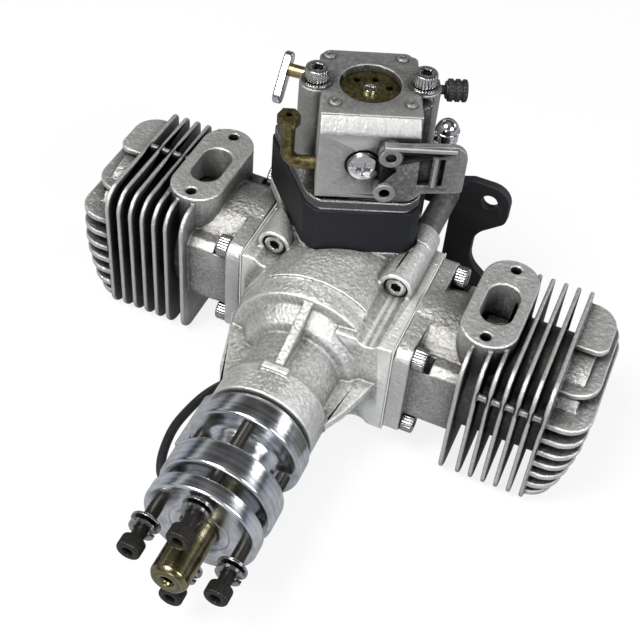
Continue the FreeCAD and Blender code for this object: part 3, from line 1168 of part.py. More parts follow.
# Carburettor body with its covers and screws
def build_carburettor():
    clear = s.screw_radius + s.fit_gap
    bottom, top = s.carb_bottom, s.carb_top
    outline = [
        (s.carb_half_u, s.carb_rear_v, 2.0), (-s.carb_half_u, s.carb_rear_v, 2.0),
        (-s.carb_half_u, -s.carb_front_v), (s.carb_half_u, -s.carb_front_v),
    ]
    shapes = [slab("carb_block", "XY", outline, bottom, top)]
    for i in (1, -1):
        shapes.append(rod("carb_ear", "Z", s.carb_ear_radius, bottom, top, (s.carb_screw_u * i, 0)))
    shapes.append(rod("idle_boss", "X", 3.0, s.carb_half_u - 1, 20.6, (s.idle_v, s.idle_z)))
    throat = [
        (bottom - 1, 0), (bottom - 1, s.carb_bore_radius), (bottom + 9.5, s.carb_bore_radius),
        (bottom + 13, s.carb_throat_radius), (bottom + 16, s.carb_throat_radius),
        (top - 6.2, s.carb_bore_radius),
        (top + 1, s.carb_bore_radius), (top + 1, 0),
    ]
    cuts = [turned("carb_throat", "Z", throat)]
    for i in (1, -1):
        cuts.append(rod("carb_screw_hole", "Z", clear, bottom - 1, top + 1, (s.carb_screw_u * i, 0)))
    for z in (s.choke_z, s.throttle_z):
        passage = rod("spindle_hole", "X", s.spindle_radius + s.fit_gap, -30.0, 30.0)
        cuts.append(turn_about(passage, FreeCAD.Vector(0, 0, 1), s.spindle_turn, 0, 0, z))
    cuts.append(rod("idle_hole", "X", 1.55, 10.5, 21.0, (s.idle_v, s.idle_z)))
    for z in (53.5, 60.0):
        cuts.append(rod("needle_hole", "X", 1.05, s.carb_half_u - 6.5, s.carb_half_u + 1, (8.6, z)))
    cuts.append(rod("elbow_hole", "X", s.elbow_radius + s.fit_gap, -s.carb_half_u - 1, -s.carb_half_u + 3,
                    (s.elbow_v, s.elbow_z)))
    carb_node("carburettor_body", carved("carb_casting", joined("carb_blank", shapes), cuts))

    front = -s.pump_cover_front
    bevel = s.pump_cover_chamfer
    cover_bottom = s.carb_bottom + 0.4
    section = [(-s.carb_front_v, cover_bottom), (-s.carb_front_v, top), (front + 0.5, top - bevel),
               (front, top - bevel - 0.6),
               (front, cover_bottom)]
    cover = slab("pump_cover_block", "YZ", section, -s.carb_half_u, s.carb_half_u - 0.5)
    screw_hole = rod("pump_screw_hole", "Y", 1.55, front - 1, -s.carb_front_v + 1,
                     (s.pump_screw_u, s.pump_screw_z))
    head_hole = rod("pump_head_hole", "Y", s.pump_screw_radius + 0.5, front - 1, front + 0.9,
                    (s.pump_screw_u, s.pump_screw_z))
    carb_node("pump_cover", carved("pump_cover_cut", cover, [screw_hole, head_hole]))
    head = rod("pump_screw_head", "Y", s.pump_screw_radius, front - 1.2, front + 0.9,
               (s.pump_screw_u, s.pump_screw_z))
    shank = rod("pump_screw_shank", "Y", 1.5, front + 0.9, -s.carb_front_v,
                (s.pump_screw_u, s.pump_screw_z))
    slots = [
        block("cross_slot", (s.pump_screw_u - 2.6, s.pump_screw_u + 2.6), (front - 2, front - 0.2),
              (s.pump_screw_z - 0.5, s.pump_screw_z + 0.5)),
        block("cross_slot", (s.pump_screw_u - 0.5, s.pump_screw_u + 0.5), (front - 2, front - 0.2),
              (s.pump_screw_z - 2.6, s.pump_screw_z + 2.6)),
    ]
    carb_node("pump_cover_screw", carved("pump_screw", joined("pump_screw_blank", [head, shank]), slots))

    rear_outline = [(s.carb_half_u - 0.6, cover_bottom, 3.0), (s.carb_half_u - 0.6, top - 1.5, 3.0),
                    (-s.carb_half_u + 0.6, top - 1.5, 3.0), (-s.carb_half_u + 0.6, cover_bottom, 3.0)]
    rear = slab("metering_block", "XZ", rear_outline, s.carb_rear_v, s.metering_cover_rear)
    vent = rod("metering_vent", "Y", 1.2, s.metering_cover_rear - 1.2, s.metering_cover_rear + 1,
               (0, 57.5))
    dish = rod("metering_dish", "Y", 10.5, s.metering_cover_rear - 0.6, s.metering_cover_rear + 1,
               (0, 57.5))
    rear_screws, rear_holes = [], [vent, dish]
    for u in (s.carb_half_u - 3.4, -s.carb_half_u + 3.4):
        for z in (cover_bottom + 3.2, top - 4.8):
            rear_holes.append(rod("metering_hole", "Y", 1.05, s.carb_rear_v - 1,
                                  s.metering_cover_rear + 1, (u, z)))
            head = rod("metering_head", "Y", 1.9, s.metering_cover_rear, s.metering_cover_rear + 1.3,
                       (u, z))
            shank = rod("metering_shank", "Y", 1.0, s.carb_rear_v, s.metering_cover_rear, (u, z))
            rear_screws.append(joined("metering_screw", [head, shank]))
    carb_node("metering_cover", carved("metering_cover_plate", rear, rear_holes))
    carb_node("metering_cover_screws", group("metering_screw_set", rear_screws))

    screws = []
    for i in (1, -1):
        across = (s.carb_screw_u * i, 0)
        screws.append(washer("carb_washer", "Z", s.washer_radius, top, top + s.washer_thickness, across))
        seat = top + s.washer_thickness
        screws.append(cap_screw("carb_screw", "Z", seat, 1, seat - s.carb_screw_end, across))
    carb_node("carburettor_screws", group("carb_screw_set", screws))


def build_bracket():
    back = -s.bracket_front + s.bracket_thickness
    front = -s.bracket_front
    outline = [
        (2.2, 67.0, 3.2), (2.2, 61.0, 3.0), (7.4, 58.6), (2.4, 52.6, 2.0), (2.0, 47.4, 2.0),
        (12.6, 47.4, 3.0), (16.0, 50.6, 2.0),
        (27.2, 51.4, 1.0), (27.2, 68.2, 4.6),
    ]
    plate = slab("bracket_plate", "XZ", outline, front, back)
    shapes = [plate, block("bracket_lip", (3.6, 24.0), (front - 0.8, back), (66.0, 67.4))]
    holes = []
    for u, z in ((5.6, 63.6), (5.0, 50.6)):
        shapes.append(rod("bracket_boss", "Y", 3.2, front - 0.8, -s.pump_cover_front, (u, z)))
        holes.append(rod("bracket_boss_hole", "Y", 1.5, front - 2, -s.pump_cover_front - 0.5, (u, z)))
    holes.append(block("bracket_window", (14.0, 21.0), (front - 2, back + 1), (53.6, 63.4)))
    shapes.append(rod("bracket_stop", "Z", 1.3, 53.0, 64.0, (18.6, front + 1)))
    solid = carved("bracket_cut", joined("bracket_blank", shapes[:-1]), holes)
    carb_node("linkage_bracket", joined("bracket", [solid, shapes[-1]]))


def build_fuel_elbow():
    """Tube along a bent path: in from the side, a quarter turn, then straight up."""
    bend = 4.2
    start = FreeCAD.Vector(-s.carb_half_u.number + 2.6, s.elbow_v.number, s.elbow_z.number)
    corner = FreeCAD.Vector(-s.elbow_reach.number, s.elbow_v.number, s.elbow_z.number)
    top = FreeCAD.Vector(-s.elbow_reach.number, s.elbow_v.number, s.elbow_top.number)
    first = corner + FreeCAD.Vector(bend, 0, 0)
    last = corner + FreeCAD.Vector(0, 0, bend)
    diagonal = bend * (1 - math.cos(math.radians(45)))
    middle = corner + FreeCAD.Vector(diagonal, 0, diagonal)
    edges = [Part.LineSegment(start, first).toShape(), Part.Arc(first, middle, last).toShape(),
             Part.LineSegment(last, top).toShape()]
    path = Part.Wire(edges)
    outside = Part.Wire(Part.makeCircle(s.elbow_radius.number, start, FreeCAD.Vector(-1, 0, 0)))
    inside = Part.Wire(Part.makeCircle(s.elbow_radius.number * 0.5, start, FreeCAD.Vector(-1, 0, 0)))
    tube = path.makePipeShell([outside], True, False)
    hole = path.makePipeShell([inside], True, False)
    barb = Part.makeCone(2.7, 2.0, 2.0, top - FreeCAD.Vector(0, 0, 3.4), FreeCAD.Vector(0, 0, 1))
    flats = [FreeCAD.Vector(3.4 * math.cos(math.radians(60 * i)), 3.4 * math.sin(math.radians(60 * i)),
                            0) for i in range(7)]
    flats = [top - FreeCAD.Vector(0, 0, 3.2) + point for point in flats]
    nut = Part.Face(Part.makePolygon(flats)).extrude(FreeCAD.Vector(0, 0, 3.2))
    obj = fresh("Part::Feature", "elbow")
    obj.Shape = tube.fuse([barb, nut]).cut(hole).removeSplitter()
    carb_node("fuel_elbow", obj)


def spindle_node(name, obj, z):
    """A piece given along the choke or throttle spindle, which crosses the bore at an angle."""
    carb_node(name, turn_about(obj, FreeCAD.Vector(0, 0, 1), s.spindle_turn, 0, 0, z))


def build_choke_and_throttle():
    slot = s.disc_thickness / 2 + 0.02
    limit = s.spindle_radius
    choke = carved("choke_rod", rod("choke_bar", "X", s.spindle_radius, -24.5, 15.5),
                   [block("choke_slot", (-s.carb_bore_radius + 0.05, s.carb_bore_radius - 0.05),
                          (-limit - 1, limit + 1), (-slot, limit + 1))])
    spindle_node("choke_shaft", choke, s.choke_z)
    disc = rod("choke_disc", "Z", s.disc_radius, -s.disc_thickness / 2, s.disc_thickness / 2)
    hole_radius = 1.1
    holes = [rod("choke_air_hole", "Z", hole_radius, -1.0, 1.0, p) for p in ((-4.9, 3.2), (4.9, 3.2),
                                                                             (0.0, 5.4))]
    screw = rod("disc_screw", "Z", 2.0, 0.0, 1.5, (0, 0))
    spindle_node("choke_plate", joined("choke_disc_set", [carved("choke_disc_cut", disc, holes), screw]),
                 s.choke_z)
    half, back_end, front_end = 2.3, -5.2, 10.4
    lever = [(-half, back_end, 2.2), (half, back_end, 2.2), (half, front_end, 2.2),
             (-half, front_end, 2.2)]
    lever_body = slab("choke_lever_plate", "YZ", lever, -27.0, -24.5)
    lever_body = turn_about(lever_body, FreeCAD.Vector(1, 0, 0), s.choke_lever_turn)
    spindle_node("choke_lever", lever_body, s.choke_z)

    throttle = carved("throttle_rod", rod("throttle_bar", "X", s.spindle_radius, -15.5, 21.4),
                      [block("throttle_slot", (-s.carb_bore_radius + 0.05, s.carb_bore_radius - 0.05),
                             (-limit - 1, limit + 1), (-slot, limit + 1))])
    spindle_node("throttle_shaft", throttle, s.throttle_z)
    plate = joined("throttle_disc_set", [
        rod("throttle_disc", "Z", s.throttle_disc_radius, -s.disc_thickness / 2, s.disc_thickness / 2),
        rod("disc_screw", "Z", 1.6, 0.0, 1.4, (0, 0)),
    ])
    spindle_node("throttle_plate", plate, s.throttle_z)
    arm = [(-2.6, -3.0, 2.4), (2.6, -3.0, 2.4), (2.6, 14.5, 2.4), (-2.6, 14.5, 2.4)]
    arm_body = slab("throttle_arm", "YZ", arm, 21.4, 22.8)
    arm_body = turn_about(arm_body, FreeCAD.Vector(1, 0, 0), 14.0)
    nut = [rod("ball_neck", "Z", 2.0, 9.0, 10.4, (24.6, -2.4)),
           rod("ball_nut", "Z", 3.4, 10.4, 14.0, (24.6, -2.4)),
           ball("ball_top", 3.3, 24.6, -2.4, 14.2),
           block("ball_seat", (22.0, 26.6), (-4.6, -0.6), (7.6, 9.2))]
    spindle_node("throttle_lever", joined("throttle_lever_set", [arm_body] + nut), s.throttle_z)


def build_adjusters():
    v, z = s.idle_v, s.idle_z
    shank = rod("idle_shank", "X", 1.5, 11.0, 24.0, (v, z))
    cap_discs = [rod("idle_cap", "X", 2.7, 22.4, 29.0, (v, z))]
    cap_discs += [rod("idle_ridge", "X", 3.4, 23.0 + 2.1 * i, 24.2 + 2.1 * i, (v, z)) for i in range(3)]
    carb_node("idle_screw", joined("idle", [shank] + cap_discs))
    for name, height in (("low_speed_needle", 53.5), ("high_speed_needle", 60.0)):
        stem = rod("needle_stem", "X", 1.0, s.carb_half_u - 6, s.carb_half_u + 3, (8.6, height))
        head = rod("needle_head", "X", 2.1, s.carb_half_u + 0.4, s.carb_half_u + 6.6, (8.6, height))
        slot = block("needle_slot", (s.carb_half_u + 5.6, s.carb_half_u + 7), (5.0, 12.0),
                     (height - 0.35, height + 0.35))
        carb_node(name, carved(name + "_cut", joined(name + "_blank", [stem, head]), [slot]))


# Ignition sensor on the nose
def build_sensor():
    half = s.sensor_width / 2
    outer = s.sensor_seat + s.sensor_depth
    y_pair = (-s.sensor_front, -s.sensor_back)
    housing = carved("sensor_housing", rod("sensor_arc", "Y", outer, y_pair[0], y_pair[1]),
                     [rod("sensor_arc_bore", "Y", s.sensor_seat, y_pair[0] - 1, y_pair[1] + 1)])
    body = common("sensor_block", housing, block("sensor_limit", (8.0, outer + 1), y_pair, (-half, half)))
    hole = rod("sensor_hole", "X", 1.55, s.sensor_seat - 1, outer + 1, (-s.sensor_screw_y, 0))
    sensor = carved("sensor_bored", body, [hole])
    axis = FreeCAD.Vector(0, -1, 0)
    node("ignition_sensor", turn_about(sensor, axis, s.sensor_angle))
    head = rod("sensor_screw_head", "X", 2.75, outer, outer + 2.4, (-s.sensor_screw_y, 0))
    shank = rod("sensor_screw_shank", "X", 1.25, 16.0, outer, (-s.sensor_screw_y, 0))
    socket = rod("sensor_screw_socket", "X", 1.2, outer + 1, outer + 2.4, (-s.sensor_screw_y, 0))
    screw = carved("sensor_bolt", joined("sensor_bolt_blank", [head, shank]), [socket])
    node("sensor_screw", turn_about(screw, axis, s.sensor_angle))


ARC_SHARE = 0.45


def rounded_path(points):
    """Straight runs joined by tangent arcs, each as large as 0.45 of the shorter run allows."""
    edges, radii = [], []
    here = points[0]
    for before, corner, after in zip(points, points[1:], points[2:]):
        back, ahead = before - corner, after - corner
        reach = ARC_SHARE * min(back.Length, ahead.Length)
        back.normalize()
        ahead.normalize()
        half_turn = (math.pi - back.getAngle(ahead)) / 2
        radii.append(reach / math.tan(half_turn))
        first, last = corner + back * reach, corner + ahead * reach
        inward = (back + ahead).normalize()
        middle = corner + inward * (radii[-1] / math.cos(half_turn) - radii[-1])
        edges += [Part.LineSegment(here, first), Part.Arc(first, middle, last)]
        here = last
    edges.append(Part.LineSegment(here, points[-1]))
    return Part.Wire([edge.toShape() for edge in edges]), radii


def tube_along(points, radius):
    path, radii = rounded_path(points)
    start = points[0]
    profile = Part.Wire(Part.makeCircle(radius, start, points[1] - start))
    solid = path.makePipeShell([profile], True, False)
    print("lead radii", [round(r, 1) for r in radii], "length", round(path.Length, 1),
          "volume share", round(solid.Volume / (math.pi * radius ** 2 * path.Length), 4))
    return solid


# The sensor's lead: a loop beside the propeller driver, down to the ground and back to a small coil
def build_lead():
    radius = s.lead_radius.number
    floor = -s.fin_bottom.number + radius
    exit_r = s.sensor_seat.number + s.sensor_depth.number / 2
    exit_angle = math.radians(s.lead_exit_angle.number)
    exit_x, exit_z = exit_r * math.cos(exit_angle), exit_r * math.sin(exit_angle)
    front = -s.sensor_front.number
    turn_radius = s.coil_radius.number - radius
    coil_x, coil_y = s.coil_x.number, s.coil_y.number
    entry_x = coil_x - turn_radius
    route = [
        (exit_x, front, exit_z), (exit_x, front - 4.6, exit_z), (-17.4, -79.0, -15.5),
        (-22.3, -77.8, -15.4), (-25.2, -72.8, -15.0), (-26.7, -66.8, -14.6), (-27.4, -60.4, -14.3),
        (-26.7, -54.2, -14.3), (-25.6, -47.6, -14.7), (-24.4, -41.0, -16.6), (-23.2, -34.4, -20.0),
        (-23.6, -27.4, -23.6), (-25.6, -20.0, -25.8), (-28.4, -11.6, floor + 0.1), (-31.6, -1.4, floor),
        (-37.0, 11.4, floor), (-42.6, 23.6, floor), (-44.1, 37.0, floor), (-41.0, 48.4, floor),
        (-35.4, 57.0, floor), (entry_x, coil_y - 5.5, floor), (entry_x, coil_y, floor),
    ]
    lead = tube_along([FreeCAD.Vector(*point) for point in route], radius)
    high = floor + 2 * radius
    tail_end = coil_y + s.tail_length.number
    start, end = FreeCAD.Vector(entry_x, coil_y + 0.5, high), FreeCAD.Vector(entry_x, tail_end, high)
    tail = Part.makeCylinder(radius, (end - start).Length, start, end - start)
    obj = fresh("Part::Feature", "lead")
    obj.Shape = Part.makeCompound([lead, tail])
    node("sensor_lead", obj)

    layer = s.lead_radius * 2
    ground = -s.fin_bottom
    centre = (s.coil_x, s.coil_y)
    outer = rod("coil_outer", "Z", s.coil_radius, ground, ground + layer * 2, centre)
    inner = rod("coil_inner", "Z", s.coil_radius - layer, ground - 1, ground + layer * 2 + 1, centre)
    beside = s.coil_x - s.coil_radius + layer + 0.05
    notch_x = (s.coil_x - s.coil_radius - 1, beside)
    lower = block("coil_entry", notch_x, (s.coil_y - s.coil_radius, s.coil_y),
                  (ground - 1, ground + layer))
    upper = block("coil_exit", notch_x, (s.coil_y + 0.5, s.coil_y + s.coil_radius),
                  (ground + layer, ground + layer * 2 + 1))
    node("lead_coil", carved("coil", carved("coil_entered", carved("coil_ring", outer, [inner]), [lower]),
                             [upper]))

    plug_front = s.coil_y + s.tail_length
    middle = s.coil_x - s.coil_radius + s.lead_radius
    half = s.plug_width / 2
    shell = block("plug_shell", (middle - half, middle + half), (plug_front, plug_front + s.plug_length),
                  (ground, ground + s.plug_height))
    sockets = []
    for i in (-1, 0, 1):
        x = middle + 2.3 * i
        sockets.append(block("plug_socket", (x - 0.6, x + 0.6),
                             (plug_front + s.plug_length - 6, plug_front + s.plug_length + 1),
                             (ground + 2.6, ground + 3.8)))
    node("lead_plug", carved("plug", shell, sockets))


build_mounting()
build_crankcase()
build_bearings()
for side, name in ((1, "right_cylinder"), (-1, "left_cylinder")):
    build_cylinder(side, name)
build_base_fasteners()
build_crank()
for side, name in ((1, "right"), (-1, "left")):
    build_piston(side, name)
build_intake()
build_carburettor()
build_bracket()
build_fuel_elbow()
build_choke_and_throttle()
build_adjusters()
build_sensor()
build_lead()

doc.recompute()
failed = [obj.Name for obj in doc.Objects if "Invalid" in obj.State or "Error" in obj.State]
if failed:
    raise RuntimeError("objects that failed: " + ", ".join(failed))
for piece in nodes:
    if piece.Shape.isNull() or not piece.Shape.isValid():
        raise RuntimeError("shape is not valid: " + piece.Label)

os.makedirs("parts", exist_ok=True)
for piece in nodes:
    piece.Shape.exportStep("parts/%s.step" % piece.Label)
    print(piece.Label, len(piece.Shape.Solids), "solids", round(piece.Shape.Volume, 1), "mm3")
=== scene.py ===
import json
import math

import bmesh
import bpy
import numpy as np
from bpy.props import FloatProperty, FloatVectorProperty, IntProperty, PointerProperty
from mathutils import Matrix, Vector


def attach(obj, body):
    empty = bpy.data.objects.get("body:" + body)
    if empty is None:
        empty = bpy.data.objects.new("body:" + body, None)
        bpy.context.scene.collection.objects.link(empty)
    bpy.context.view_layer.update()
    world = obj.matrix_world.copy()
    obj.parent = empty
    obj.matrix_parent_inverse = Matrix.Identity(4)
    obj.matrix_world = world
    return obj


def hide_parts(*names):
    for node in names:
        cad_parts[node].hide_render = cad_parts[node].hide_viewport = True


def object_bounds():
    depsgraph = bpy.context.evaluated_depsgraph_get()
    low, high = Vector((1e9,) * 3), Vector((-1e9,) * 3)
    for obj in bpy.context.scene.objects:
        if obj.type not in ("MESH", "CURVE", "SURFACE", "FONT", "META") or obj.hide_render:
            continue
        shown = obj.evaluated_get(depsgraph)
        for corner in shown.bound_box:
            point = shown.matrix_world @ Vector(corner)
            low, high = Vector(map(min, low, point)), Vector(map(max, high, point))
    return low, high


# Looks of a flat twin aircraft engine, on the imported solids. Lengths in the calls are millimetres in the
# engine's working axes: crank along Y, propeller toward -Y, Y 0 between the cylinders.

bl_info = {
    "name": "Flat aircraft engine",
    "version": (1, 0, 0),
    "blender": (4, 5, 0),
    "location": "View3D > Sidebar > Engine",
    "description": "Finishes and fine pieces of a flat twin aircraft engine",
    "category": "Object",
}

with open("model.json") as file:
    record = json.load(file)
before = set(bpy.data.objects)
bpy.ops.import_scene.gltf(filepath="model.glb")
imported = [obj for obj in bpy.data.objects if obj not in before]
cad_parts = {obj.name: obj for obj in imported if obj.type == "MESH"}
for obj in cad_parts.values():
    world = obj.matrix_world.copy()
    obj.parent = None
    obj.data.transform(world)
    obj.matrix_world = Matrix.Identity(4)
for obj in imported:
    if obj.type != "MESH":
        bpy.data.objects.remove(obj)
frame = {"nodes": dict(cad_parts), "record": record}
NODES = frame["nodes"]
FRAME_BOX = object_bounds()
MM = 0.001
FRONT, UP = (0, -1, 0), (0, 0, 1)

# Places in the solids: the mount's plane behind Y 0, the carburettor's upright axis, its turn and its top,
# the cylinders' distance from Y 0 (the right one stands forward), and the crankcase's side faces and the radius
# of their openings
MOUNT_DISTANCE = 43.0
CARB_AXIS = (-3.0, 15.5)
CARB_TURN = math.radians(23.9)
CARB_TOP = 71.5
CYLINDER_OFFSET, DECK, DECK_BORE = 8.04, 28.0, 16.5

# The kinds of row in a turned profile, and what they do to the radius
PLAIN, KNURL, HEXAGON, THREAD = 0, 1, 2, 3
KNURL_DIP = 0.035
THREAD_PITCH, THREAD_DEPTH = 0.7, 0.22

# The M4 socket screw that the engine uses throughout
HEAD_RADIUS, HEAD_HEIGHT, SHANK_RADIUS = 3.5, 4.0, 2.0
SOCKET_HALF, SOCKET_DEPTH = 1.55, 2.5
WASHER_HOLE, WASHER_THICKNESS = 2.1, 0.8

# Meshes: the distances within which points are one, the angle under which faces are one, and the angles past
# which an edge is sharp, in the solids' copies and in the parametric pieces
WELD, SOLID_WELD = 1e-6, 2e-6
FLAT_ANGLE, SHARP, CREASE = math.radians(0.08), math.radians(32), math.radians(38)

# Finishes: the pointiness from which an edge is lighter, partly as wear and partly as a painted highlight, and
# where it is fully so
EDGE_FROM, EDGE_FULL = 0.505, 0.56

# The photograph's camera: degrees round, up and rolled, metres from the engine, a focal length and a
# picture's width in pixels, the sensor's width, and the shift of the picture's middle
CAMERA_AZIMUTH, CAMERA_HEIGHT, CAMERA_ROLL = 18.17, 46.1, 6.51
CAMERA_DISTANCE = 0.3876
FOCAL_PIXELS, PICTURE_PIXELS, SENSOR_WIDTH = 1213.77, 640, 36
CAMERA_SHIFT = (-0.0309, -0.0409)


# Parametric shapes

def place(points):
    """Working millimetres to the frame's metres."""
    points = np.asarray(points, float)
    return (points - np.array([0.0, MOUNT_DISTANCE, 0.0])) * MM


def carb_point(u, v, z):
    """A point in the carburettor's turned axes, in working millimetres."""
    c, s = math.cos(CARB_TURN), math.sin(CARB_TURN)
    return (CARB_AXIS[0] + u * c - v * s, CARB_AXIS[1] + u * s + v * c, z)


def carb_direction(u, v, z):
    """A direction in the carburettor's turned axes."""
    c, s = math.cos(CARB_TURN), math.sin(CARB_TURN)
    return (u * c - v * s, u * s + v * c, z)


def cross_axes(direction):
    """A unit direction and two unit vectors across it."""
    d = np.asarray(direction, float)
    d = d / np.linalg.norm(d)
    helper = np.array([0.0, 0.0, 1.0]) if abs(d[2]) < 0.9 else np.array([1.0, 0.0, 0.0])
    first = np.cross(helper, d)
    first /= np.linalg.norm(first)
    return d, first, np.cross(d, first)


def grid_faces(rows, columns):
    """Quads between neighbouring points of a grid whose columns go round."""
    r, c = np.meshgrid(np.arange(rows - 1), np.arange(columns), indexing="ij")
    r2, c2 = r + 1, (c + 1) % columns
    quads = np.stack([r * columns + c, r * columns + c2, r2 * columns + c2, r2 * columns + c], -1)
    return quads.reshape(-1, 4)


def smooth_step(value, low, high):
    """s(t) = t^2 (3 - 2t), with t = (value - low) / (high - low) held between 0 and 1."""
    t = np.clip((value - low) / (high - low), 0, 1)
    return t * t * (3 - 2 * t)


def eased(points, steps=4):
    """A profile whose corners are rounded. Each row holds a place along the axis, a radius, the corner's
    rounding and the row's kind, the last two if wanted. A rounded corner is replaced by a quadratic curve that
    starts and ends that far from it, (1-t)^2 a + 2t(1-t) corner + t^2 b."""
    out = []
    last = len(points) - 1
    for i, point in enumerate(points):
        corner = np.array(point[:2], float)
        ease = point[2] if len(point) > 2 else 0
        kind = point[3] if len(point) > 3 else PLAIN
        if not ease or i in (0, last):
            out.append((*corner, kind))
            continue
        before = np.array(points[i - 1][:2], float) - corner
        after = np.array(points[i + 1][:2], float) - corner
        a = corner + before / np.linalg.norm(before) * min(ease, np.linalg.norm(before) * 0.49)
        b = corner + after / np.linalg.norm(after) * min(ease, np.linalg.norm(after) * 0.49)
        for t in np.linspace(0, 1, steps):
            out.append((*((1 - t) ** 2 * a + 2 * t * (1 - t) * corner + t ** 2 * b), kind))
    return np.array(out)


def turned(profile, start, direction, sides, knurls=30):
    """A turned surface. p(i, a) = start + position(i) * axis + r(i, a) * (cos a * e1 + sin a * e2).
    r is the profile's radius; on knurled rows it dips by a rectified sine, on hexagon rows it is the flat's
    distance over the cosine of the angle from the flat, and on threaded rows it follows a helix."""
    rows = eased(profile)
    position, radius, kind = rows[:, 0:1], rows[:, 1:2], rows[:, 2:3]
    angle = np.linspace(0, 2 * math.pi, sides, endpoint=False)[None, :]
    dip = KNURL_DIP * np.abs(np.sin(angle * knurls / 2))
    flat = np.cos((angle + math.pi / 6) % (math.pi / 3) - math.pi / 6)
    lead = (position / THREAD_PITCH + angle / (2 * math.pi)) % 1.0
    r = np.where(kind == KNURL, radius * (1 - dip), radius + 0 * angle)
    r = np.where(kind == HEXAGON, radius / flat, r)
    r = np.where(kind == THREAD, radius - THREAD_DEPTH * np.abs(2 * lead - 1), r)
    axis, e1, e2 = cross_axes(direction)
    ring = r[..., None] * (np.cos(angle)[..., None] * e1 + np.sin(angle)[..., None] * e2)
    points = np.asarray(start, float) + position[..., None] * axis + ring
    return place(points.reshape(-1, 3)), grid_faces(len(rows), sides)


def swept(path, section, turn_hint):
    """A bar along a path: p(i, j) = path(i) + section_x(j) * across(i) + section_y(j) * up(i), where across is
    the path's direction crossed with the hint and up is across crossed with the direction. Both ends are
    closed."""
    path, section = np.asarray(path, float), np.asarray(section, float)
    along = np.gradient(path, axis=0)
    along /= np.linalg.norm(along, axis=1, keepdims=True)
    across = np.cross(along, np.asarray(turn_hint, float))
    across /= np.linalg.norm(across, axis=1, keepdims=True)
    up = np.cross(across, along)
    points = (path[:, None, :] + section[None, :, 0:1] * across[:, None, :]
              + section[None, :, 1:2] * up[:, None, :])
    rows, columns = len(path), len(section)
    faces = grid_faces(rows, columns).tolist()
    faces.append(list(range(columns)))
    faces.append([(rows - 1) * columns + j for j in reversed(range(columns))])
    return place(points.reshape(-1, 3)), faces


def helix(start, direction, radius, turns, height, steps):
    """p(a) = start + height * a / a_end * axis + radius * (cos a * e1 + sin a * e2), with a from 0 to a_end."""
    axis, e1, e2 = cross_axes(direction)
    a = np.linspace(0, 2 * math.pi * turns, int(steps * turns))[:, None]
    rise = a / (2 * math.pi * turns) * height
    return np.asarray(start, float) + rise * axis + radius * (np.cos(a) * e1 + np.sin(a) * e2)


def disc_relief(start, direction, radius, height_of, rings=26, sides=120):
    """A round face with a relief:
    p(r, a) = start + h(r cos a, r sin a) * axis + r * (cos a * e1 + sin a * e2)."""
    r = np.linspace(0.0, 1.0, rings)[:, None] * radius
    a = np.linspace(0, 2 * math.pi, sides, endpoint=False)[None, :]
    x, y = r * np.cos(a), r * np.sin(a)
    axis, e1, e2 = cross_axes(direction)
    h = height_of(x, y)
    points = np.asarray(start, float) + h[..., None] * axis + x[..., None] * e1 + y[..., None] * e2
    return place(points.reshape(-1, 3)), grid_faces(rings, sides)


def cross_recess(x, y, half=0.55, reach=2.7, depth=1.1, crown=0.7, radius=4.6):
    """Height of a pan head: h = crown (1 - (d / radius)^2) - rim s(d) - depth * arms. d is the distance from
    the middle, s a smooth step near the rim, and arms is 1 in a cross that tapers by a smooth step."""
    rim, rim_from, taper_from = 1.5, 0.93, 0.7
    away = np.sqrt(x * x + y * y)
    body = crown * (1 - (away / radius) ** 2) - rim * smooth_step(away, radius * rim_from, radius)

    def arm(across, along):
        return ((1 - smooth_step(np.abs(across), half * taper_from, half))
                * (1 - smooth_step(np.abs(along), reach * taper_from, reach)))

    return body - depth * np.maximum(arm(x, y), arm(y, x))


def cap_screw(seat, direction, length, sides, threaded=0.0):
    """A socket screw of two turned surfaces: a knurled head with a hexagon socket, and a shank whose last
    part is threaded."""
    chamfer, step = 0.35, THREAD_PITCH / 4
    head = [
        (0.0, 0.0), (0.0, HEAD_RADIUS - 0.25, 0.2), (0.3, HEAD_RADIUS, 0.2, KNURL),
        (HEAD_HEIGHT * 0.5, HEAD_RADIUS, 0, KNURL), (HEAD_HEIGHT - chamfer, HEAD_RADIUS, 0.25, KNURL),
        (HEAD_HEIGHT, HEAD_RADIUS - chamfer, 0.2), (HEAD_HEIGHT, SOCKET_HALF * 1.25, 0.1),
        (HEAD_HEIGHT - 0.2, SOCKET_HALF, 0, HEXAGON), (HEAD_HEIGHT - 2.2, SOCKET_HALF, 0, HEXAGON),
        (HEAD_HEIGHT - SOCKET_DEPTH, 0.0),
    ]
    shank = [(0.0, 0.0), (0.0, SHANK_RADIUS), (length - threaded - 0.2, SHANK_RADIUS)]
    shank += [(length - threaded + step * i, SHANK_RADIUS, 0, THREAD) for i in range(int(threaded / step))]
    shank += [(length - 0.3, SHANK_RADIUS - 0.1), (length, SHANK_RADIUS - 0.45), (length, 0.0)]
    backward = -np.asarray(direction, float)
    return [turned(head, seat, direction, sides), turned(shank, seat, backward, 40)]


def flat_washer(centre, direction, outer):
    """A plain washer: the turned surface of a rectangle with two rounded corners."""
    ring = [(0.0, WASHER_HOLE), (0.0, outer, 0.12), (WASHER_THICKNESS, outer, 0.12),
            (WASHER_THICKNESS, WASHER_HOLE), (0.0, WASHER_HOLE)]
    return turned(ring, centre, direction, 64)


def spring_washer(centre, direction, outer):
    """A split washer: a flat bar wound along a helix of 0.97 turns, which rises by the bar's thickness."""
    half_width, half_thickness = 0.8, 0.45
    bar = [(-half_width, -half_thickness), (half_width, -half_thickness), (half_width, half_thickness),
           (-half_width, half_thickness)]
    path = helix(centre, direction, outer - half_width, 0.97, 2 * half_thickness, 60)
    return swept(path, bar, direction)


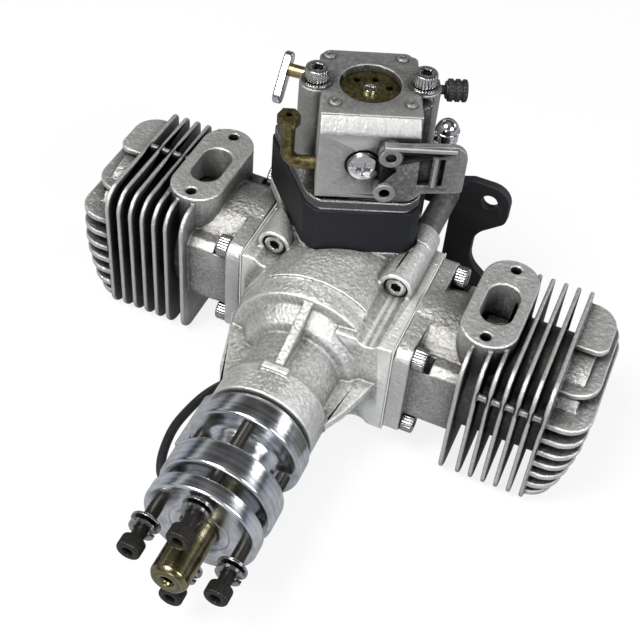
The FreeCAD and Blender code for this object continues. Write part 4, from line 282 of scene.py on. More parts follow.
def coil_points(centre, radius, turns, low, rise, count=12):
    """Control points of stored turns: p(k) = centre + radius * (cos a, sin a) at a = pi - k * 2 pi / count.
    Their height is low, and steps up by the rise late in the first turn."""
    step = np.arange(0, turns * count + 1)
    angle = math.pi - step * 2 * math.pi / count
    climb = np.clip((step - count + 4) / 4, 0, 1) * rise
    return np.stack([centre[0] + radius * np.cos(angle), centre[1] + radius * np.sin(angle), low + climb], -1)


# Pieces

def finish_called(name):
    """The finish made under this name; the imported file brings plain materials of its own."""
    return bpy.data.materials["finish_" + name]


def make_mesh(name, parts):
    """One closed mesh of all parts, its doubles merged and its faces turned outward."""
    points, faces, base = [], [], 0
    for part_points, part_faces in parts:
        points.append(part_points)
        faces += (np.asarray(f) + base for f in part_faces)
        base += len(part_points)
    mesh = bpy.data.meshes.new(name)
    mesh.from_pydata(np.concatenate(points).tolist(), [], [f.tolist() for f in faces])
    work = bmesh.new()
    work.from_mesh(mesh)
    bmesh.ops.remove_doubles(work, verts=work.verts, dist=WELD)
    bmesh.ops.recalc_face_normals(work, faces=work.faces)
    work.to_mesh(mesh)
    work.free()
    mesh.shade_smooth()
    mesh.set_sharp_from_angle(angle=CREASE)
    return mesh


def add_piece(name, parts, body, look, stands_for=()):
    """A piece made of parametric parts, with its body, its finish and the nodes it stands for."""
    obj = bpy.data.objects.new(name, make_mesh(name, parts))
    bpy.context.scene.collection.objects.link(obj)
    obj.data.materials.append(finish_called(look))
    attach(obj, body)
    if stands_for:
        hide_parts(*stands_for)
    return obj


def in_cylinder_bore(point):
    """Whether a point of a crankcase half lies in the opening for a cylinder, where a piston moves."""
    deck_margin, bore_margin = 0.1, 0.4
    x, y, z = point.x / MM, point.y / MM + MOUNT_DISTANCE, point.z / MM
    centre = -CYLINDER_OFFSET if x > 0 else CYLINDER_OFFSET
    return abs(x) < DECK + deck_margin and math.hypot(y - centre, z) < DECK_BORE + bore_margin


def softened(node, body, look, width, segments=2, crisp=None):
    """The node's own shape with rounded edges: a merged copy whose sharp edges are bevelled, but for those
    whose ends are both crisp."""
    mesh = NODES[node].data.copy()
    mesh.name = node + "_soft"
    mesh.materials.clear()
    mesh.materials.append(finish_called(look))
    work = bmesh.new()
    work.from_mesh(mesh)
    bmesh.ops.remove_doubles(work, verts=work.verts, dist=SOLID_WELD)
    bmesh.ops.dissolve_limit(work, angle_limit=FLAT_ANGLE, verts=work.verts, edges=work.edges)
    bmesh.ops.recalc_face_normals(work, faces=work.faces)
    weight = work.edges.layers.float.new("bevel_weight_edge")
    for edge in work.edges:
        kept = crisp is not None and all(crisp(vertex.co) for vertex in edge.verts)
        edge[weight] = 0.0 if kept or edge.calc_face_angle(0.0) < SHARP else 1.0
    work.to_mesh(mesh)
    work.free()
    obj = bpy.data.objects.new(node + "_soft", mesh)
    bpy.context.scene.collection.objects.link(obj)
    mesh.shade_smooth()
    mesh.set_sharp_from_angle(angle=SHARP)
    bevel = obj.modifiers.new("soft_edges", "BEVEL")
    bevel.width = width * MM
    bevel.segments = segments
    bevel.limit_method = "WEIGHT"
    bevel.use_clamp_overlap = False
    even = obj.modifiers.new("even_normals", "WEIGHTED_NORMAL")
    even.keep_sharp = True
    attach(obj, body)
    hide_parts(node)
    return obj


# Shared effects

def new_group(name, inputs, outputs):
    """A node group with its sockets, its input node and its output node."""
    group = bpy.data.node_groups.new(name, "ShaderNodeTree")
    for socket, kind, default in inputs:
        item = group.interface.new_socket(name=socket, in_out="INPUT", socket_type=kind)
        item.default_value = default
    for socket, kind in outputs:
        group.interface.new_socket(name=socket, in_out="OUTPUT", socket_type=kind)
    return group, group.nodes.new("NodeGroupInput"), group.nodes.new("NodeGroupOutput")


def node_in(tree, kind, inputs=None, **settings):
    """A new node with its settings and the values of its inputs."""
    made = tree.nodes.new(kind)
    for key, value in settings.items():
        setattr(made, key, value)
    for key, value in (inputs or {}).items():
        made.inputs[key].default_value = value
    return made


def maths(tree, operation, first, second=None):
    """The output of a maths node whose operands are numbers or sockets."""
    made = node_in(tree, "ShaderNodeMath", operation=operation)
    for socket, value in zip(made.inputs, (first, second)):
        if value is None:
            continue
        if isinstance(value, (int, float)):
            socket.default_value = value
        else:
            tree.links.new(value, socket)
    return made.outputs[0]


def cast_grain_group():
    """Blasted casting: fine noise and rounded grains as a height, and slow clouds as a tone."""
    group, source, target = new_group(
        "cast_grain", [("Scale", "NodeSocketFloat", 1500.0)],
        [("Height", "NodeSocketFloat"), ("Tone", "NodeSocketFloat")])
    links = group.links
    coord = node_in(group, "ShaderNodeTexCoord")
    noise = node_in(group, "ShaderNodeTexNoise", {"Detail": 4, "Roughness": 0.62})
    cells = node_in(group, "ShaderNodeTexVoronoi")
    clouds = node_in(group, "ShaderNodeTexNoise", {"Scale": 130, "Detail": 5})
    for texture in (noise, cells, clouds):
        links.new(coord.outputs["Object"], texture.inputs["Vector"])
    links.new(source.outputs["Scale"], noise.inputs["Scale"])
    links.new(maths(group, "MULTIPLY", source.outputs["Scale"], 0.55), cells.inputs["Scale"])
    grains = maths(group, "MULTIPLY", cells.outputs["Distance"], 0.5)
    links.new(maths(group, "ADD", noise.outputs["Fac"], grains), target.inputs["Height"])
    fine = maths(group, "MULTIPLY", noise.outputs["Fac"], 0.85)
    slow = maths(group, "MULTIPLY", clouds.outputs["Fac"], 0.22)
    links.new(maths(group, "ADD", fine, slow), target.inputs["Tone"])
    return group


def turning_marks_and_reflection_bands_group():
    """Lathe marks round the crank axis: noise of the distance from the axis and of the place along it. In the
    machined finish its tone also stands for painted dark reflection bands.
    """
    group, source, target = new_group(
        "turning_marks_and_reflection_bands", [("Scale", "NodeSocketFloat", 2600.0)],
        [("Height", "NodeSocketFloat"), ("Tone", "NodeSocketFloat")])
    links = group.links
    coord = node_in(group, "ShaderNodeTexCoord")
    split = node_in(group, "ShaderNodeSeparateXYZ")
    links.new(coord.outputs["Object"], split.inputs[0])
    x_squared = maths(group, "MULTIPLY", split.outputs[0], split.outputs[0])
    z_squared = maths(group, "MULTIPLY", split.outputs[2], split.outputs[2])
    across = maths(group, "SQRT", maths(group, "ADD", x_squared, z_squared))
    joined = node_in(group, "ShaderNodeCombineXYZ")
    links.new(across, joined.inputs[0])
    links.new(split.outputs[1], joined.inputs[1])
    noise = node_in(group, "ShaderNodeTexNoise", {"Detail": 3})
    clouds = node_in(group, "ShaderNodeTexNoise", {"Scale": 220})
    links.new(joined.outputs[0], noise.inputs["Vector"])
    links.new(coord.outputs["Object"], clouds.inputs["Vector"])
    links.new(source.outputs["Scale"], noise.inputs["Scale"])
    links.new(noise.outputs["Fac"], target.inputs["Height"])
    fine = maths(group, "MULTIPLY", noise.outputs["Fac"], 0.5)
    slow = maths(group, "MULTIPLY", clouds.outputs["Fac"], 0.5)
    links.new(maths(group, "ADD", fine, slow), target.inputs["Tone"])
    return group


def scaled(colour, factor):
    """A colour made darker or lighter by a factor."""
    return tuple(c * factor for c in colour)


def finish(name, dark, light, metallic, rough, marks="cast_grain", scale=1500.0, depth=0.05, strength=0.35,
           edge=None, coat=0.0, shade=0.0, shade_power=1.6, contrast=(0.44, 0.74), specular=0.5):
    """A finish: tone blends its two colours and its two roughnesses, the height gives its surface, raised edges
    take the edge colour, partly as wear and partly as a painted highlight, and shade darkens what lies deep
    between other faces."""
    material = bpy.data.materials.new("finish_" + name)
    material.use_nodes = True
    tree = material.node_tree
    links = tree.links
    shader = tree.nodes["Principled BSDF"]
    effect = node_in(tree, "ShaderNodeGroup", {"Scale": scale}, node_tree=bpy.data.node_groups[marks])
    spread = node_in(tree, "ShaderNodeMapRange", {"From Min": contrast[0], "From Max": contrast[1]})
    links.new(effect.outputs["Tone"], spread.inputs["Value"])
    colour = node_in(tree, "ShaderNodeMix", {"A": (*dark, 1), "B": (*light, 1)}, data_type="RGBA")
    links.new(spread.outputs[0], colour.inputs["Factor"])
    result = colour.outputs["Result"]
    # Raised edges lighten toward the edge colour: partly wear, partly a painted highlight.
    if edge is not None:
        geometry = node_in(tree, "ShaderNodeNewGeometry")
        mask = node_in(tree, "ShaderNodeMapRange", {"From Min": EDGE_FROM, "From Max": EDGE_FULL})
        links.new(geometry.outputs["Pointiness"], mask.inputs["Value"])
        worn_and_highlit = node_in(tree, "ShaderNodeMix", {"B": (*edge, 1)}, data_type="RGBA")
        links.new(mask.outputs[0], worn_and_highlit.inputs["Factor"])
        links.new(result, worn_and_highlit.inputs["A"])
        result = worn_and_highlit.outputs["Result"]
    if shade:
        hidden = node_in(tree, "ShaderNodeAmbientOcclusion", {"Distance": shade * MM}, samples=8)
        links.new(result, hidden.inputs["Color"])
        open_share = maths(tree, "POWER", hidden.outputs["AO"], shade_power)
        darker = node_in(tree, "ShaderNodeMix", {"Factor": 1.0}, data_type="RGBA", blend_type="MULTIPLY")
        links.new(result, darker.inputs["A"])
        links.new(open_share, darker.inputs["B"])
        result = darker.outputs["Result"]
    links.new(result, shader.inputs["Base Color"])
    roughness = node_in(tree, "ShaderNodeMapRange", {"To Min": rough[0], "To Max": rough[1]})
    links.new(effect.outputs["Tone"], roughness.inputs["Value"])
    links.new(roughness.outputs[0], shader.inputs["Roughness"])
    bump = node_in(tree, "ShaderNodeBump", {"Distance": depth * MM, "Strength": strength})
    links.new(effect.outputs["Height"], bump.inputs["Height"])
    links.new(bump.outputs[0], shader.inputs["Normal"])
    shader.inputs["Metallic"].default_value = metallic
    shader.inputs["Specular IOR Level"].default_value = specular
    if coat:
        shader.inputs["Coat Weight"].default_value = coat
    return material


# The add-on

class EngineFinishes(bpy.types.PropertyGroup):
    cast_dark: FloatVectorProperty(name="Casting, dark", description="Darker tone of the blasted castings",
                                   subtype="COLOR", default=(0.42, 0.415, 0.40), min=0, max=1)
    cast_light: FloatVectorProperty(name="Casting, light", description="Lighter tone of the blasted castings",
                                    subtype="COLOR", default=(0.90, 0.895, 0.875), min=0, max=1)
    machined: FloatVectorProperty(name="Machined metal", description="Aluminium of the propeller driver",
                                  subtype="COLOR", default=(0.86, 0.88, 0.91), min=0, max=1)
    spacer: FloatVectorProperty(name="Spacer", description="Dark plastic of the intake spacer",
                                subtype="COLOR", default=(0.004, 0.004, 0.005), min=0, max=1)
    brass: FloatVectorProperty(name="Brass", description="Brass of the needles", subtype="COLOR",
                               default=(0.52, 0.40, 0.20), min=0, max=1)


class EngineSizes(bpy.types.PropertyGroup):
    lead_diameter: FloatProperty(name="Lead diameter", description="Outside of the sensor lead",
                                 unit="LENGTH", default=0.0029, min=0.001, max=0.01)
    cast_edge: FloatProperty(name="Casting edge", description="Rounding of the cast edges, in millimetres",
                             default=0.45, min=0.05, max=1.5)
    screw_sides: IntProperty(name="Screw sides", description="Faces round a screw head", default=120, min=36,
                             max=240)


# The finish of each slot that isn't called like its finish
FINISH_OF_SLOT = {
    "black_steel": "black_oxide", "black_painted_plate": "black_anodised", "magnet_plating": "chrome",
    "black_plastic": "spacer_plastic", "reed_plate": "reed_fibre", "plated_steel": "chrome",
}


class ENGINE_OT_finishes(bpy.types.Operator):
    """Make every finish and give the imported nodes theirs"""
    bl_idname = "engine.finishes"
    bl_label = "Finishes"

    def execute(self, context):
        cast_grain_group()
        turning_marks_and_reflection_bands_group()
        look = context.scene.engine_finishes
        self.castings_and_plastics(tuple(look.cast_dark), tuple(look.cast_light), tuple(look.spacer))
        self.metals(tuple(look.machined), tuple(look.brass))
        self.soft_materials()
        for entry in frame["record"]["subparts"]:
            slot = entry["material_slot"]
            mesh = NODES[entry["node"]].data
            mesh.materials.clear()
            mesh.materials.append(finish_called(FINISH_OF_SLOT.get(slot, slot)))
        for name in ("choke_plate", "throttle_plate", "fuel_elbow"):
            NODES[name].data.materials[0] = finish_called("dark_brass")
        return {"FINISHED"}

    def castings_and_plastics(self, dark, light, spacer):
        """Finishes of the castings, the plate and the hard plastics."""
        # Each edge colour below lightens raised edges, partly as wear and partly as a painted highlight.
        casting = dict(scale=1050, depth=0.4, strength=0.9, contrast=(0.44, 0.80))
        finish("cast_aluminium", dark, light, 0.8, (0.34, 0.54), edge=(0.95, 0.945, 0.92), shade=6.0,
               shade_power=1.0, **casting)
        # The cylinders take the casting's colours made darker, with deeper shade than the crankcase.
        finish("cast_fins", scaled(dark, 0.8), scaled(light, 0.8), 0.85, (0.32, 0.52),
               edge=(0.80, 0.80, 0.78), shade=9.0, shade_power=1.4, **casting)
        finish("carburettor_alloy", (0.13, 0.13, 0.127), (0.32, 0.316, 0.305), 0.8, (0.36, 0.6), scale=1000,
               depth=0.3, strength=0.7, edge=(0.50, 0.50, 0.49), shade=4.0, contrast=(0.48, 0.72))
        finish("spacer_plastic", scaled(spacer, 0.7), scaled(spacer, 1.6), 0.0, (0.42, 0.6), scale=1400,
               depth=0.03, edge=(0.020, 0.021, 0.026), specular=0.14)
        finish("black_anodised", (0.003, 0.003, 0.003), (0.010, 0.010, 0.010), 0.0, (0.40, 0.58), scale=1200,
               depth=0.03, edge=(0.05, 0.05, 0.055), specular=0.2)
        finish("black_knob", (0.010, 0.010, 0.011), (0.022, 0.022, 0.024), 0.0, (0.3, 0.5), depth=0.02)

    def metals(self, machined, brass):
        """Finishes of the turned, plated and plain metals."""
        # Slow, strong turning marks: lathe marks, and also painted dark reflection bands on the driver.
        finish("machined_aluminium", scaled(machined, 0.66), machined, 1.0, (0.10, 0.34), "turning_marks_and_reflection_bands",
               scale=800, depth=0.03, strength=0.5, contrast=(0.40, 0.60))
        finish("golden_steel", (0.20, 0.17, 0.09), (0.50, 0.46, 0.30), 1.0, (0.16, 0.34), "turning_marks_and_reflection_bands",
               scale=1800, depth=0.02)
        finish("dull_steel", (0.13, 0.13, 0.13), (0.26, 0.26, 0.255), 0.5, (0.42, 0.62), scale=700, depth=0.2)
        finish("black_oxide", (0.020, 0.019, 0.018), (0.055, 0.050, 0.044), 0.75, (0.28, 0.5), scale=2600,
               depth=0.02)
        finish("bright_steel", (0.42, 0.42, 0.42), (0.74, 0.74, 0.73), 1.0, (0.16, 0.34), scale=2000,
               depth=0.01, shade=2.6)
        finish("dark_brass", (0.10, 0.08, 0.03), (0.34, 0.285, 0.14), 1.0, (0.22, 0.5), scale=900, depth=0.02)
        finish("brass", scaled(brass, 0.6), brass, 1.0, (0.20, 0.42), scale=900, depth=0.02)
        finish("chrome", (0.62, 0.62, 0.63), (0.82, 0.82, 0.83), 1.0, (0.08, 0.2), scale=900, depth=0.01)
        finish("ring_iron", (0.12, 0.12, 0.125), (0.22, 0.22, 0.225), 0.9, (0.3, 0.5), scale=2000, depth=0.02)

    def soft_materials(self):
        """Finishes of the rubbers, the paper and the fibre."""
        finish("lead_rubber", (0.008, 0.008, 0.009), (0.022, 0.022, 0.023), 0.0, (0.30, 0.46), scale=2200,
               depth=0.02, coat=0.15)
        finish("gasket_paper", (0.46, 0.45, 0.42), (0.66, 0.65, 0.62), 0.0, (0.8, 0.95), scale=2200,
               depth=0.03)
        finish("seal_rubber", (0.10, 0.03, 0.02), (0.16, 0.06, 0.04), 0.0, (0.5, 0.7), scale=2000, depth=0.02)
        finish("reed_fibre", (0.02, 0.02, 0.02), (0.06, 0.06, 0.06), 0.0, (0.4, 0.6), scale=2600, depth=0.02)


class ENGINE_OT_castings(bpy.types.Operator):
    """Round the edges of the crankcase, cylinders, spacer, plate, levers and carburettor castings"""
    bl_idname = "engine.castings"
    bl_label = "Castings"

    def execute(self, context):
        edge = context.scene.engine_sizes.cast_edge
        for node in ("crankcase_front", "crankcase_rear"):
            softened(node, "case", "cast_aluminium", edge * 1.2, 3, in_cylinder_bore)
        for node in ("right_cylinder", "left_cylinder"):
            softened(node, "case", "cast_fins", edge)
        softened("standoffs", "case", "dull_steel", 0.5, 3)
        softened("intake_spacer", "case", "spacer_plastic", 0.6, 3)
        softened("intake_plates", "case", "bright_steel", 0.12)
        softened("mount_plate", "case", "black_anodised", 0.35, 3)
        for node, width in (("carburettor_body", 0.4), ("pump_cover", 0.45), ("metering_cover", 0.4),
                            ("linkage_bracket", 0.3)):
            softened(node, "case", "carburettor_alloy", width, 3)
        softened("choke_lever", "choke", "chrome", 0.6, 3)
        softened("throttle_lever", "throttle", "chrome", 0.35, 3)
        softened("ignition_sensor", "case", "machined_aluminium", 0.5, 3)
        return {"FINISHED"}


class ENGINE_OT_driver(bpy.types.Operator):
    """Turn the propeller driver, washer and centre spigot"""
    bl_idname = "engine.driver"
    bl_label = "Propeller driver"

    def execute(self, context):
        origin = (0, 0, 0)
        driver = [
            (60.5, 6.0), (60.5, 15.2, 0.2), (62.3, 15.2, 0.1), (62.5, 16.8, 0.2), (62.9, 17.2, 0.2),
            (69.4, 17.2, 0.5), (70.0, 16.6, 0.4), (70.0, 11.9, 0.8), (71.2, 10.5, 1.0), (78.4, 10.5, 1.0),
            (79.5, 11.6, 0.8), (79.5, 16.7, 0.4), (80.0, 17.2, 0.4), (87.6, 17.2, 0.5), (88.2, 16.6, 0.5),
            (88.2, 14.9, 0.1), (88.0, 14.8, 0.1), (88.0, 6.4, 0.2), (88.2, 5.6), (76.3, 5.55), (76.3, 6.0),
            (60.5, 6.0),
        ]
        add_piece("propeller_driver_turned", [turned(driver, origin, FRONT, 160)], "crank",
                  "machined_aluminium", ("prop_driver",))
        disc = [
            (92.0, 5.6), (92.0, 16.7, 0.3), (92.4, 17.0, 0.3), (96.5, 17.0, 0.5), (97.0, 16.4, 0.4),
            (97.0, 9.0, 0.1), (96.85, 8.9, 0.1), (96.85, 7.4, 0.1), (97.0, 7.3, 0.1), (97.0, 5.9, 0.3),
            (96.6, 5.6, 0.2), (92.0, 5.6),
        ]
        add_piece("propeller_washer_turned", [turned(disc, origin, FRONT, 160)], "crank",
                  "machined_aluminium", ("prop_washer",))
        spigot = [(66.0, 0.0), (66.0, 2.9)]
        spigot += [(66.2 + 0.18 * i, 3.0, 0, THREAD) for i in range(55)]
        spigot += [
            (76.3, 3.0), (76.3, 5.5), (113.6, 5.5, 0.4), (115.0, 4.6, 0.5), (115.0, 2.2, 0.5),
            (114.0, 1.6, 0.4), (108.0, 1.6, 0.3), (107.4, 0.0),
        ]
        add_piece("centre_spigot_turned", [turned(spigot, origin, FRONT, 96)], "crank", "golden_steel",
                  ("centre_spigot",))
        return {"FINISHED"}


class ENGINE_OT_propeller_bolts(bpy.types.Operator):
    """Propeller bolts with their flat and split washers"""
    bl_idname = "engine.propeller_bolts"
    bl_label = "Propeller bolts"

    def execute(self, context):
        sides = context.scene.engine_sizes.screw_sides
        circle, first_angle, length, threaded = 13.15, -4.0, 38.5, 17.0
        heads_at, washers_at = (109.5, 106.5, 108.0, 108.4), (103.8, 99.4, 102.4, 102.2)
        bolts, washers = [], []
        for i, (head, flat) in enumerate(zip(heads_at, washers_at)):
            a = math.radians(first_angle + 90.0 * i)
            x, z = circle * math.cos(a), circle * math.sin(a)
            bolts += cap_screw((x, -head, z), FRONT, length, sides, threaded)
            washers.append(flat_washer((x, -flat, z), (0, 1, 0), 4.4))
            washers.append(spring_washer((x, -flat - 1.3, z), FRONT, 3.9))
        add_piece("propeller_bolts_fine", bolts, "crank", "black_oxide", ("prop_bolts",))
        add_piece("bolt_washers_fine", washers, "crank", "bright_steel", ("bolt_washers",))
        return {"FINISHED"}


class ENGINE_OT_case_screws(bpy.types.Operator):
    """Screws of the crankcase and cylinder bases"""
    bl_idname = "engine.case_screws"
    bl_label = "Case and base screws"

    def execute(self, context):
        sides = context.scene.engine_sizes.screw_sides
        case_seat, case_length = 4.5, 32.5
        base_seat, base_length = 33.5, 10.6
        case, base = [], []
        for x in (20.0, -20.0):
            for z in (20.0, -20.0):
                case += cap_screw((x, -case_seat, z), FRONT, case_length, sides)
        for side in (1, -1):
            centre = -CYLINDER_OFFSET * side
            for y in (-18.6, 18.6):
                for z in (-14.5, 14.5):
                    base += cap_screw((base_seat * side, centre + y, z), (side, 0, 0), base_length, sides)
        add_piece("case_screws_fine", case, "case", "bright_steel", ("case_screws",))
        add_piece("base_screws_fine", base, "case", "bright_steel", ("base_screws",))
        return {"FINISHED"}


class ENGINE_OT_carburettor(bpy.types.Operator):
    """Screws, bosses, knob and needles of the carburettor"""
    bl_idname = "engine.carburettor"
    bl_label = "Carburettor details"

    def execute(self, context):
        self.top(context.scene.engine_sizes.screw_sides)
        self.cross_screws()
        self.adjusters()
        return {"FINISHED"}

    def top(self, sides):
        """The two screws with their washers, and the domed heads on the top."""
        spacing, length = 15.5, 49.3
        screws, washers = [], []
        for u in (spacing, -spacing):
            screws += cap_screw(carb_point(u, 0, CARB_TOP + WASHER_THICKNESS), UP, length, sides)
            washers.append(flat_washer(carb_point(u, 0, CARB_TOP), UP, 4.6))
        add_piece("carburettor_screws_fine", screws + washers, "case", "bright_steel",
                  ("carburettor_screws",))
        boss = [
            (-0.4, 0.0), (-0.4, 1.8), (0.5, 1.8, 0.3), (0.9, 1.3, 0.3), (0.9, 0.6, 0.1), (0.6, 0.5, 0.1),
            (0.6, 0.0),
        ]
        places = ((-11.6, 12.2), (9.8, 12.2), (-10.4, -9.9), (11.2, -9.4))
        bosses = [turned(boss, carb_point(u, v, CARB_TOP), UP, 48) for u, v in places]
        add_piece("carburettor_top_bosses", bosses, "case", "carburettor_alloy")

    def cross_screws(self):
        """The pump cover's screw and the choke disc's, with cross recesses."""
        forward = carb_direction(0, -1, 0)
        u, z = -1.5, 57.0
        rim = [(-0.3, 0.0), (-0.3, 4.6), (0.45, 4.6, 0.2), (0.45, 0.0)]
        shank = [(-3.0, 0.0), (-3.0, 1.5), (0.0, 1.5), (0.0, 4.5), (0.35, 4.55), (0.35, 0.0)]
        pan = [disc_relief(carb_point(u, -20.3, z), forward, 4.6, cross_recess),
               turned(rim, carb_point(u, -18.9, z), forward, 96),
               turned(shank, carb_point(u, -18.4, z), forward, 40)]
        add_piece("pump_cover_screw_fine", pan, "case", "chrome", ("pump_cover_screw",))

        def small_recess(x, y):
            return cross_recess(x, y, half=0.3, reach=1.3, depth=0.6, crown=0.4, radius=2.1)

        small_rim = [(0.1, 0.0), (0.1, 2.1), (1.4, 2.1, 0.15), (1.4, 0.0)]
        small = [disc_relief(carb_point(0, 0, 69.95), UP, 2.1, small_recess),
                 turned(small_rim, carb_point(0, 0, 68.6), UP, 72)]
        add_piece("choke_disc_screw_fine", small, "choke", "chrome")

    def adjusters(self):
        """The idle screw with its ridged knob, and the two needles."""
        outward = carb_direction(1, 0, 0)
        start = carb_point(22.4, 4.5, 67.2)
        knob = [
            (0.0, 0.0), (0.0, 2.6, 0.3), (0.6, 2.7), (0.8, 3.4, 0.2, KNURL), (2.2, 3.4, 0.2, KNURL),
            (2.3, 2.9), (2.9, 2.9), (3.0, 3.4, 0.2, KNURL), (4.3, 3.4, 0.2, KNURL), (4.4, 2.9), (5.0, 2.9),
            (5.1, 3.4, 0.2, KNURL), (6.1, 3.4, 0.3, KNURL), (6.5, 2.9, 0.3), (6.5, 1.4, 0.2), (6.1, 1.2),
            (6.1, 0.0),
        ]
        stem = [(-11.3, 0.0), (-11.3, 1.4), (0.1, 1.4), (0.1, 0.0)]
        add_piece("idle_screw_fine", [turned(knob, start, outward, 96, 24), turned(stem, start, outward, 32)],
                  "idle_adjuster", "black_knob", ("idle_screw",))
        head = [
            (0.0, 0.0), (0.0, 1.9, 0.2), (0.4, 2.1, 0.2, KNURL), (4.6, 2.1, 0.2, KNURL), (5.2, 1.7, 0.2),
            (6.2, 1.7, 0.2), (6.2, 0.0),
        ]
        needle = [(-6.0, 0.0), (-6.0, 0.4), (-3.0, 1.0), (0.1, 1.0), (0.1, 0.0)]
        for name, z, body in (("low_speed_needle", 53.5, "low_speed_adjuster"),
                              ("high_speed_needle", 60.0, "high_speed_adjuster")):
            start = carb_point(14.9, 8.6, z)
            parts = [turned(head, start, outward, 72, 20), turned(needle, start, outward, 32)]
            add_piece(name + "_fine", parts, body, "brass", (name,))


# The lead from the sensor to its stored turns, and from them to the plug
LEAD_EXIT = (-13.7, -70.5, -15.2)
LEAD_FLOOR = -26.55
LEAD_ROUTE = [
    LEAD_EXIT, (-13.7, -75.1, -15.2), (-17.4, -79.0, -15.5), (-22.3, -77.8, -15.4), (-25.2, -72.8, -15.0),
    (-26.7, -66.8, -14.6), (-27.4, -60.4, -14.3), (-26.7, -54.2, -14.3), (-25.6, -47.6, -14.7),
    (-24.4, -41.0, -16.6), (-23.2, -34.4, -20.0), (-23.6, -27.4, -23.6), (-25.6, -20.0, -25.8),
    (-28.4, -11.6, -26.45), (-31.6, -1.4, LEAD_FLOOR), (-37.0, 11.4, LEAD_FLOOR), (-42.6, 23.6, LEAD_FLOOR),
    (-44.1, 37.0, LEAD_FLOOR), (-41.0, 48.4, LEAD_FLOOR), (-35.4, 57.0, LEAD_FLOOR),
    (-32.75, 63.5, LEAD_FLOOR),
]
LEAD_TAIL = [(-32.75, 74.0, -23.65), (-32.55, 78.0, -23.65), (-32.55, 82.0, -23.65)]


class ENGINE_OT_sensor_lead(bpy.types.Operator):
    """The sensor's lead with its stored turns, and the plug on its end"""
    bl_idname = "engine.sensor_lead"
    bl_label = "Sensor lead"

    def execute(self, context):
        diameter = context.scene.engine_sizes.lead_diameter
        turns = coil_points((-18.0, 69.0), 14.75, 2, LEAD_FLOOR, 2.9)
        points = place(LEAD_ROUTE + turns.tolist() + LEAD_TAIL)
        curve = bpy.data.curves.new("sensor_lead_curve", "CURVE")
        curve.dimensions = "3D"
        curve.resolution_u = 10
        curve.bevel_depth = diameter / 2
        curve.bevel_resolution = 6
        curve.use_fill_caps = True
        spline = curve.splines.new("NURBS")
        spline.points.add(len(points) - 1)
        spline.points.foreach_set("co", np.hstack([points, np.ones((len(points), 1))]).ravel())
        spline.order_u = 3
        spline.use_endpoint_u = True
        lead = bpy.data.objects.new("sensor_lead_cord", curve)
        context.scene.collection.objects.link(lead)
        curve.materials.append(finish_called("lead_rubber"))
        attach(lead, "case")
        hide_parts("sensor_lead", "lead_coil")
        relief = [
            (-0.5, 0.0), (-0.5, 2.3, 0.2), (0.6, 2.3, 0.3), (1.0, 1.9, 0.2), (1.6, 1.9, 0.2), (1.8, 1.6, 0.1),
            (2.4, 1.6, 0.1), (2.4, 0.0),
        ]
        add_piece("sensor_lead_relief", [turned(relief, LEAD_EXIT, FRONT, 48)], "case", "lead_rubber")
        plug = softened("lead_plug", "case", "black_knob", 0.35, 3)
        return {"FINISHED"}


